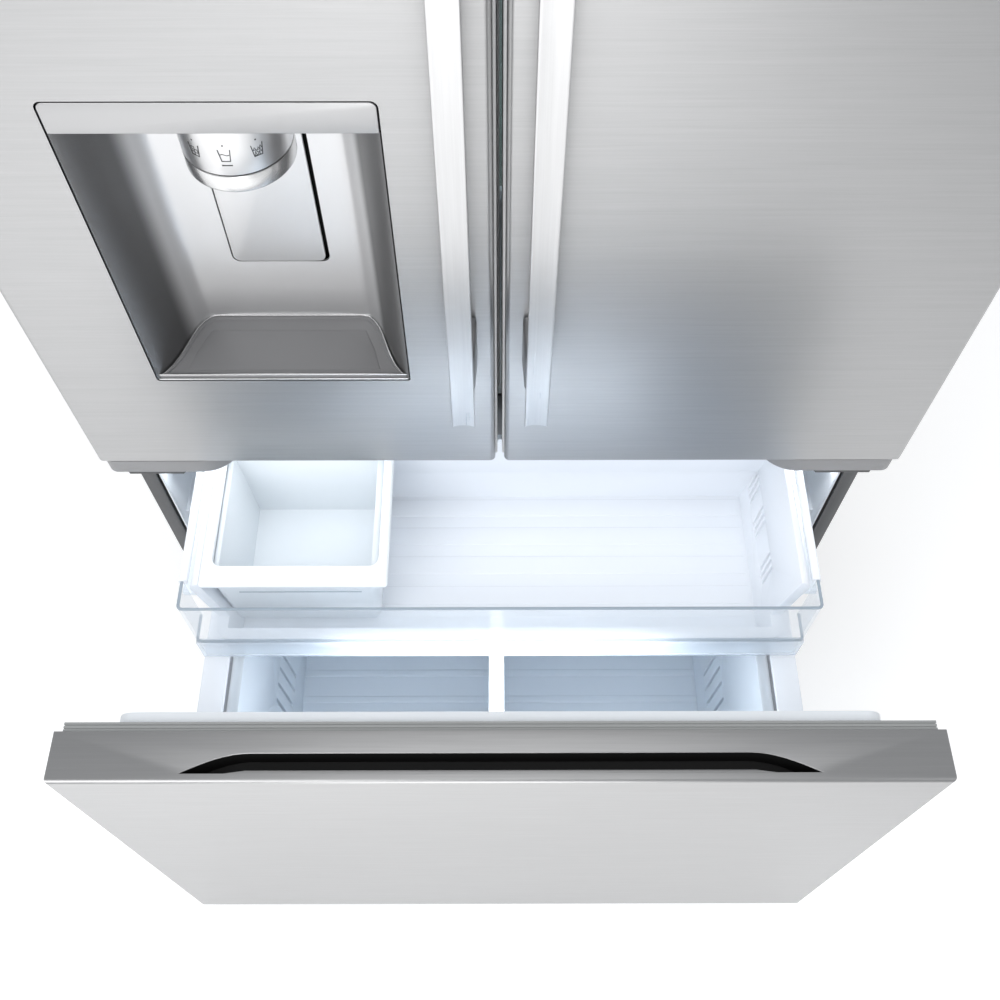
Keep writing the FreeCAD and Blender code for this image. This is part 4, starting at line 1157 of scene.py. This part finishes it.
def drawer_front():
    """Drawer skin with a finger slot along its top, swept at both ends."""
    low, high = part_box("drawer_skin")
    skin = folded_skin("drawer_panel", low, high, 5 * MM, True)
    front, back = low.y + 10 * MM, low.y + 30 * MM
    half_front, half_back, sweep = 321 * MM, 252 * MM, 8
    side = []
    for step in range(sweep + 1):
        share = step / sweep
        ease = math.sin(share * math.pi / 2)
        side.append((half_front + (half_back - half_front) * share, front + (back - front) * ease))
    outline = side + [(-x, y) for x, y in reversed(side)]
    cut(skin, prism("cutter", [(x, y, high.z - 10 * MM) for x, y in outline], (0, 0, 20 * MM)))
    bevel(skin, lambda p, d: p.z > high.z - 1e-5 and abs(d.z) < 0.1 and abs(p.x) < half_front + 1 * MM
          and front - 0.2 * MM < p.y < back + 0.2 * MM, 0.9 * MM, 3)
    finish_piece(skin, "freezer_drawer", STEEL, ("drawer_skin",))

    lip_front, lip_back = half_front - 42 * MM, half_front - 66 * MM
    lip_outline = ((-lip_front, front - 0.2 * MM), (lip_front, front - 0.2 * MM),
                   (lip_back, front + 3.0 * MM), (-lip_back, front + 3.0 * MM))
    lip = prism("drawer_slot_lip", [(x, y, high.z - 7 * MM) for x, y in lip_outline], (0, 0, 6.4 * MM))
    soften(lip, 0.5 * MM, 3)
    finish_piece(lip, "freezer_drawer", STEEL)

    pocket_low, pocket_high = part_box("drawer_pocket")
    pocket = slab("drawer_slot_pocket", pocket_low, pocket_high)
    around = [(x * 1.004, front - 1.5 * MM if y < front + 1e-6 else y + 1.0 * MM) for x, y in outline]
    well = prism("cutter", [(x, y, pocket_low.z + 3 * MM) for x, y in around], (0, 0, 60 * MM))
    cut(pocket, well)
    soften(pocket, 0.8 * MM)
    finish_piece(pocket, "freezer_drawer", BLACK, ("drawer_pocket",))


# ---- softened copies of the plain moulded and folded parts --------------------------
def softened(node, body, material, radius):
    """A copy of a CAD part whose flat faces are merged and whose edges are rounded over."""
    piece = duplicate(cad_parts[node])
    piece.name = node + "_soft"
    piece.parent = None
    piece.hide_render = piece.hide_viewport = False
    for key in list(piece.keys()):
        del piece[key]
    edit_all(piece)
    bpy.ops.mesh.remove_doubles(threshold=2e-6)
    bpy.ops.mesh.dissolve_limited(angle_limit=math.radians(1))
    done()
    soften(piece, radius)
    finish_piece(piece, body, material, (node,))


# CAD node, body, slot, finish, and the radius of its edges in millimetres.
SOFTENED = (
    ("front_frame", "cabinet", "flange_paint", FLANGE_PAINT, 0.6),
    ("center_mullion", "cabinet", "flange_paint", FLANGE_PAINT, 1.5),
    ("fridge_liner", "cabinet", "liner_white", LINER_WHITE, 1.4),
    ("freezer_liner", "cabinet", "liner_white", LINER_WHITE, 1.4),
    ("middle_hinges", "cabinet", "hinge_dark", HINGE_PAINT, 0.8),
    ("middle_hinge_covers", "cabinet", "hinge_cover_grey", COVER_GREY, 1.6),
    ("top_hinges", "cabinet", "hinge_dark", HINGE_PAINT, 0.8),
    ("base_rails", "cabinet", "galvanised", GALVANISED, 0.8),
    ("base_grille", "cabinet", "cap_grey", CAP_GREY, 0.6),
    ("machine_base", "cabinet", "galvanised", GALVANISED, 0.8),
    ("evaporator_cover", "cabinet", "liner_white", LINER_WHITE, 1.2),
    ("slide_outer_members", "cabinet", "slide_steel", SLIDE_STEEL, 0.4),
    ("slide_middle_members", "slide_middle", "slide_steel", SLIDE_STEEL, 0.4),
    ("slide_inner_members", "freezer_drawer", "slide_steel", SLIDE_STEEL, 0.6),
    ("inner_drawer_rails", "cabinet", "bin_white", BIN_WHITE, 0.8),
    ("inner_runners", "inner_drawer", "bin_white", BIN_WHITE, 0.8),
    ("shelf_trims", "cabinet", "bin_white", BIN_WHITE, 1.2),
    ("drawer_liner", "freezer_drawer", "liner_white", LINER_WHITE, 2.0),
    ("left_door_liner", "left_door", "liner_white", LINER_WHITE, 2.0),
    ("right_door_liner", "right_door", "liner_white", LINER_WHITE, 2.0),
    ("left_door_end_caps", "left_door", "cap_grey", CAP_GREY, 0.8),
    ("right_door_end_caps", "right_door", "cap_grey", CAP_GREY, 0.8),
    ("mullion_flap", "flap", "flap_grey", FLAP_GREY_PAINTED_LIGHT, 0.8),
    ("power_inlet", "cabinet", "black_plastic", BLACK, 0.5),
    ("compressor", "cabinet", "compressor_black", COMPRESSOR_BLACK, 1.0),
)


# ---- fresh food side ----------------------------------------------------------------
def door_bins():
    """Clear tubs with a white band round their tops, at the levels of the CAD bins."""
    for side, levels in (("left", (1300, 1490)), ("right", (860, 1080, 1300, 1490))):
        node = side + "_door_bins"
        low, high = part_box(node)
        bins, bands = [], []
        for base in [height * MM for height in levels]:
            bins.append(tub("bin", (low.x, low.y, base), (high.x, high.y, base + 92 * MM), 3 * MM,
                            (6 * MM, 6 * MM), 18 * MM, 10 * MM))
            band = slab("band", (low.x, low.y, base + 84 * MM), (high.x, high.y, base + 95 * MM))
            bevel(band, upright, 18 * MM, 5)
            mouth = slab("cutter", (low.x + 3.4 * MM, low.y + 3.4 * MM, base),
                         (high.x - 3.4 * MM, high.y - 3.4 * MM, base + 1))
            bevel(mouth, upright, 15 * MM, 5)
            cut(band, mouth)
            soften(band, 1.0 * MM)
            bands.append(band)
        body = side + "_door"
        finish_piece(joined(side + "_door_bin_tubs", bins), body, BIN_CLEAR, (node,))
        finish_piece(joined(side + "_door_bin_bands", bands), body, BIN_WHITE)


def crispers():
    """Clear tubs, each with a white grip along its front."""
    for side in ("left", "right"):
        node = "crisper_" + side
        low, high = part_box(node)
        body = tub(node + "_tub", (low.x, low.y + 10 * MM, low.z), (high.x, high.y, high.z - 4 * MM),
                   3 * MM, (6 * MM, 5 * MM), 20 * MM, 12 * MM)
        finish_piece(body, node, BIN_CLEAR, (node,))
        grip = slab(node + "_grip", (low.x + 20 * MM, low.y, high.z - 30 * MM),
                    (high.x - 20 * MM, low.y + 13 * MM, high.z - 4 * MM))
        inset_push(grip, facing_down, 3 * MM, (0, 0, 16 * MM))
        bevel(grip, lambda p, d: abs(d.x) > 0.9 and p.y < low.y + 1e-5, 5 * MM, 5)
        soften(grip, 0.8 * MM)
        finish_piece(grip, node, BIN_WHITE)


def shelves():
    """Glass with ground edges, and ladder ribs on the side walls under each shelf."""
    low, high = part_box("shelf_glass")
    edges = []
    for height in (985, 1190, 1410):
        edge = slab("edge", (low.x + 4 * MM, high.y - 3 * MM, (height + 0.4) * MM),
                    (high.x - 4 * MM, high.y - 0.5 * MM, (height + 3.6) * MM))
        bevel(edge, crosswise, 1.0 * MM, 3)
        edges.append(edge)
    finish_piece(joined("shelf_ground_edges", edges), "cabinet", GUARD_EDGE)
    supports = []
    for side in (-1, 1):
        wall = side * 431 * MM
        left, right = sorted((wall, wall - side * 7 * MM))
        for height in (1080, 1300, 1500, 1580):
            rib = slab("rib", (left, 0.03, height * MM), (right, 0.40, (height + 9) * MM))
            bevel(rib, lambda p, d: abs(d.y) > 0.9 and abs(p.x) < abs(wall) - 1 * MM, 3 * MM, 3)
            bevel(rib, upright, 2.5 * MM, 3)
            supports.append(rib)
    finish_piece(joined("shelf_wall_ribs", supports), "cabinet", LINER_WHITE)


def duct():
    """Air duct with three rows of vents."""
    low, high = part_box("air_duct")
    panel = slab("air_duct_panel", low, high)
    bevel(panel, fore_and_aft, 14 * MM, 5)
    inset_push(panel, lambda p, n: n.y < -0.99, 9 * MM, (0, 3 * MM, 0))
    outward(panel)
    for base in (1110, 1330, 1560):
        for number in range(6):
            z = (base + number * 11) * MM
            vent = slab("cutter", (-52 * MM, low.y - 5 * MM, z), (52 * MM, low.y + 13 * MM, z + 5 * MM))
            bevel(vent, fore_and_aft, 2.2 * MM, 3)
            cut(panel, vent)
    soften(panel, 1.0 * MM)
    finish_piece(panel, "cabinet", LINER_WHITE, ("air_duct",))
    back = slab("air_duct_shadow", (-60 * MM, low.y + 11 * MM, 1095 * MM),
                (60 * MM, low.y + 15 * MM, 1640 * MM))
    inset_push(back, facing_front, 3 * MM, (0, 1 * MM, 0))
    finish_piece(back, "cabinet", BLACK)


def lenses():
    """Diffusers over the two lamps inside."""
    lens = slab("fridge_lamp_lens", (-170 * MM, 0.02, 1716 * MM), (170 * MM, 0.11, 1723 * MM))
    bevel(lens, upright, 14 * MM, 5)
    inset_push(lens, lambda p, n: n.z < -0.99, 5 * MM, (0, 0, -1.5 * MM))
    soften(lens, 1.0 * MM)
    finish_piece(lens, "cabinet", LAMP)
    bar = slab("freezer_lamp_lens", (-150 * MM, -55 * MM, 711 * MM), (150 * MM, -15 * MM, 716.5 * MM))
    bevel(bar, upright, 9 * MM, 5)
    inset_push(bar, lambda p, n: n.z < -0.99, 4 * MM, (0, 0, -0.8 * MM))
    finish_piece(bar, "cabinet", LAMP)


# ---- outside: screws, back, base ----------------------------------------------------
def screws(name, spots, facing, body, material, radius=4.0 * MM):
    """Domed cross-head screws. Facing is the way that their heads look."""
    head = drum(name, (0, 0), radius, -1.0 * MM, 1.6 * MM, 20)
    bevel(head, lambda p, d: abs(d.z) < 0.1 and p.z > 0, 1.1 * MM, 3)
    for turn in (0, 90):
        blade = slab("cutter", (-radius * 0.6, -0.45 * MM, 0.7 * MM), (radius * 0.6, 0.45 * MM, 3 * MM))
        turn_about(blade, (0, 0, 0), turn)
        cut(head, blade)
    aim = Vector(facing).to_track_quat("Z", "Y").to_matrix().to_4x4()
    heads = []
    for spot in spots:
        copy = duplicate(head)
        copy.data.transform(Matrix.Translation(spot) @ aim)
        heads.append(copy)
    bpy.data.objects.remove(head)
    finish_piece(joined(name, heads), body, material)


def back_side():
    """Embossed rear panel, its screws, and the hoods over the cooling slots."""
    low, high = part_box("rear_panel")
    panel = slab("rear_panel_sheet", low, high)
    pick(panel, "face", facing_back)
    bpy.ops.mesh.subdivide(number_cuts=1)
    done()
    for x_side in (-1, 1):
        for upper in (0, 1):
            inset_push(panel, lambda p, n: n.y > 0.9 and p.x * x_side > 0 and (p.z > 1.0) == bool(upper)
                       and abs(p.x) > 0.1 and p.y > high.y - 1e-5, 34 * MM, (0, -1.1 * MM, 0))
    soften(panel, 0.6 * MM, 3)
    finish_piece(panel, "cabinet", GALVANISED, ("rear_panel",))

    spots = [(x, high.y + 0.2 * MM, z) for x in (-0.43, -0.15, 0.15, 0.43) for z in (1.73, 0.32)]
    spots += [(x, high.y + 0.2 * MM, z) for x in (-0.44, 0.44) for z in (0.7, 1.1, 1.45)]
    spots += [(x, high.y + 0.2 * MM, z) for x in (-0.43, -0.14, 0.14, 0.43) for z in (0.055, 0.285)]
    screws("rear_screws", spots, (0, 1, 0), "cabinet", SLIDE_STEEL)
    for column, x in (("left", 0.020), ("right", 0.212)):
        hoods = rib_row("louvre_hoods_" + column, (x - 2 * MM, high.y - 0.4 * MM, 96 * MM),
                        (x + 112 * MM, high.y + 2.4 * MM, 99.5 * MM), (0, 0, 16 * MM), 9, 0)
        finish_piece(hoods, "cabinet", GALVANISED)


def water_valve():
    """Thread round the water inlet, and the valve's coil inside."""
    valve_low, valve_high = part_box("inlet_valve")
    inlet_x, inlet_z = -330 * MM, 140 * MM
    deselect_all()
    threads = []
    for number in range(5):
        y = valve_high.y - (2.2 + 1.7 * number) * MM
        bpy.ops.mesh.primitive_torus_add(major_radius=8.6 * MM, minor_radius=0.7 * MM,
                                         major_segments=40, minor_segments=8,
                                         location=(inlet_x, y, inlet_z),
                                         rotation=(math.radians(90), 0, 0))
        settle()
        threads.append(bpy.context.object)
    finish_piece(joined("inlet_thread", threads), "cabinet", BLACK)
    coil = slab("valve_coil", (inlet_x - 16 * MM, valve_low.y - 14 * MM, inlet_z - 14 * MM),
                (inlet_x + 16 * MM, valve_low.y + 2 * MM, inlet_z + 14 * MM))
    bevel(coil, fore_and_aft, 6 * MM, 4)
    soften(coil, 1.0 * MM)
    finish_piece(coil, "cabinet", BLACK)


def base_parts():
    """Levelling feet, rear rollers, and the compressor's weld, rubber feet and terminal box."""
    low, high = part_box("front_feet")
    foot_x = -427 * MM
    centre = (foot_x, (low.y + high.y) / 2)
    pad = drum("left_foot", centre, 20 * MM, 0.0, 7 * MM, 48)
    bevel(pad, lambda p, d: abs(d.z) < 0.1 and p.z > 6 * MM, 2.0 * MM, 4)
    bevel(pad, lambda p, d: abs(d.z) < 0.1 and p.z < 1 * MM, 1.0 * MM, 2)
    inset_push(pad, lambda p, n: n.z > 0.99, 7 * MM, (0, 0, -1 * MM))
    nut = drum("nut", centre, 9 * MM, 5.8 * MM, 9.5 * MM, 6)
    soften(nut, 0.6 * MM)
    stud = drum("stud", centre, 5.9 * MM, 5 * MM, 12 * MM, 32)
    bevel(stud, level, 0.8 * MM, 2)
    foot = joined("left_foot", [pad, nut, stud])
    finish_piece(foot, "cabinet", BLACK, ("front_feet",))
    finish_piece(mirrored(foot, "right_foot"), "cabinet", BLACK)

    low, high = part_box("rear_rollers")
    radius = (high.z - low.z) / 2
    wheel = drum("left_roller", (0, 0), radius, -11 * MM, 11 * MM, 56)
    bevel(wheel, level, 2.4 * MM, 4)
    for end in (-1, 1):
        inset_push(wheel, lambda p, n: n.z * end > 0.99, 4 * MM, (0, 0, -end * 3 * MM))
    bore = drum("cutter", (0, 0), 4.1 * MM, -20 * MM, 20 * MM, 32)
    cut(wheel, bore)
    roller_x = -393 * MM
    lay_along_x(wheel, (roller_x, (low.y + high.y) / 2, radius))
    finish_piece(wheel, "rollers", CAP_GREY, ("rear_rollers",))
    finish_piece(mirrored(wheel, "right_roller"), "rollers", CAP_GREY)

    low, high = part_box("compressor")
    middle = ((low.x + high.x) / 2, (low.y + high.y) / 2)
    band = drum("compressor_weld", middle, 75.2 * MM, 118 * MM, 124 * MM, 96)
    bevel(band, level, 2.2 * MM, 4)
    finish_piece(band, "cabinet", COMPRESSOR_BLACK)
    grommets = []
    for x in (-84, 84):
        for y in (-50, 50):
            ring = drum("grommet", (middle[0] + x * MM, middle[1] + y * MM), 9 * MM, 50 * MM, 66 * MM, 28)
            bevel(ring, level, 3 * MM, 3)
            grommets.append(ring)
    finish_piece(joined("compressor_grommets", grommets), "cabinet", BLACK)
    terminals = slab("compressor_terminals", (middle[0] - 22 * MM, middle[1] - 86 * MM, 80 * MM),
                     (middle[0] + 22 * MM, middle[1] - 66 * MM, 128 * MM))
    bevel(terminals, fore_and_aft, 5 * MM, 4)
    soften(terminals, 1.0 * MM)
    finish_piece(terminals, "cabinet", BLACK)


def outside_cabinet():
    """Folded shell with rounded top corners, stiffeners on its top, and screws at the hinges."""
    low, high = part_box("cabinet_shell")
    shell = slab("cabinet_wrap", low, high)
    bevel(shell, lambda p, d: abs(d.y) > 0.9 and p.z > 1.0, 2.0 * MM, 4)
    inset_push(shell, facing_down, 1.6 * MM, (0, 0, high.z - low.z - 4 * MM))
    finish_piece(shell, "cabinet", CABINET_PAINT, ("cabinet_shell",))
    inside = slab("cutter", (low.x + 2 * MM, low.y - 1 * MM, low.z - 1 * MM),
                  (high.x - 2 * MM, high.y + 1 * MM, high.z - 2 * MM))
    cut(shell, inside)

    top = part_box("top_hinge_covers")[1].z
    screws("hinge_cover_screws", [(side * 0.40, -0.015, top - 1.8 * MM) for side in (-1, 1)],
           (0, 0, 1), "cabinet", HINGE_PAINT, 4.5 * MM)
    rails = rib_row("top_stiffeners", (-0.36, 0.02, high.z - 0.5 * MM),
                    (0.36, 0.032, high.z + 1.6 * MM), (0, 0.11, 0), 5, 0)
    finish_piece(rails, "cabinet", CABINET_PAINT)
    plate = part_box("middle_hinges")[0].z + 0.2 * MM
    plate_screws = [(side * x, -0.142, plate) for side in (-1, 1) for x in (0.405, 0.378)]
    screws("middle_hinge_screws", plate_screws, (0, 0, -1), "cabinet", SLIDE_STEEL, 3.6 * MM)


set_camera()
set_studio()
set_floor()

# ---- finishes of the CAD nodes ------------------------------------------------------
NODE_FINISHES = {
    STEEL: ("left_door_skin", "right_door_skin", "drawer_skin", "dispenser_fascia"),
    HANDLE_STEEL: ("left_handle", "right_handle", "left_handle_brackets", "right_handle_brackets"),
    RECESS_METAL_PAINTED_SHADE: ("dispenser_housing",),
    DRUM_METAL: ("nozzle_drum", "drum_band"),
    SLIDE_STEEL: ("slide_outer_members", "slide_middle_members", "slide_inner_members"),
    TRAY_GREY: ("drip_tray",),
    PADDLE_METAL: ("dispenser_paddle",),
    CABINET_PAINT: ("cabinet_shell",),
    FLANGE_PAINT: ("front_frame", "center_mullion"),
    HINGE_PAINT: ("top_hinges", "middle_hinges"),
    COVER_GREY: ("top_hinge_covers", "middle_hinge_covers"),
    CAP_GREY: ("left_door_end_caps", "right_door_end_caps", "base_grille", "rear_rollers"),
    SEAL_GREY: ("left_door_gasket", "right_door_gasket"),
    SEAL_LIGHT: ("drawer_gasket",),
    LINER_WHITE: ("fridge_liner", "freezer_liner", "left_door_liner", "right_door_liner", "drawer_liner",
                  "air_duct", "evaporator_cover"),
    BIN_WHITE: ("inner_tray", "inner_runners", "inner_drawer_rails", "shelf_trims"),
    BASKET_BLUE: ("lower_basket", "basket_divider"),
    BLACK: ("drawer_pocket", "inlet_valve", "power_inlet", "front_feet"),
    FLAP_GREY_PAINTED_LIGHT: ("mullion_flap",),
    GALVANISED: ("rear_panel", "machine_cover", "machine_base", "base_rails"),
    COMPRESSOR_BLACK: ("compressor",),
    GUARD_CLEAR: ("inner_front",),
    BIN_CLEAR: ("left_door_bins", "right_door_bins", "crisper_left", "crisper_right"),
    SHELF_GLASS: ("shelf_glass",),
    FROSTED: ("ice_bin",),
}
for material, nodes in NODE_FINISHES.items():
    for node in nodes:
        dress(node, material)

recess_shell()
fascia()
nozzle()
cup_icon("icon_cubes", -ICON_TURN, "cubes")
cup_icon("icon_water", 0.0, "water")
cup_icon("icon_crushed", ICON_TURN, "crushed")
paddle()
drip_tray()
handle()
door_skins()
inner_drawer()
clear_guard()
ice_box()
basket()
seals()
drawer_front()
for node, body, slot, material, radius in SOFTENED:
    softened(node, body, material, radius * MM)
door_bins()
crispers()
shelves()
duct()
lenses()
back_side()
water_valve()
base_parts()
outside_cabinet()
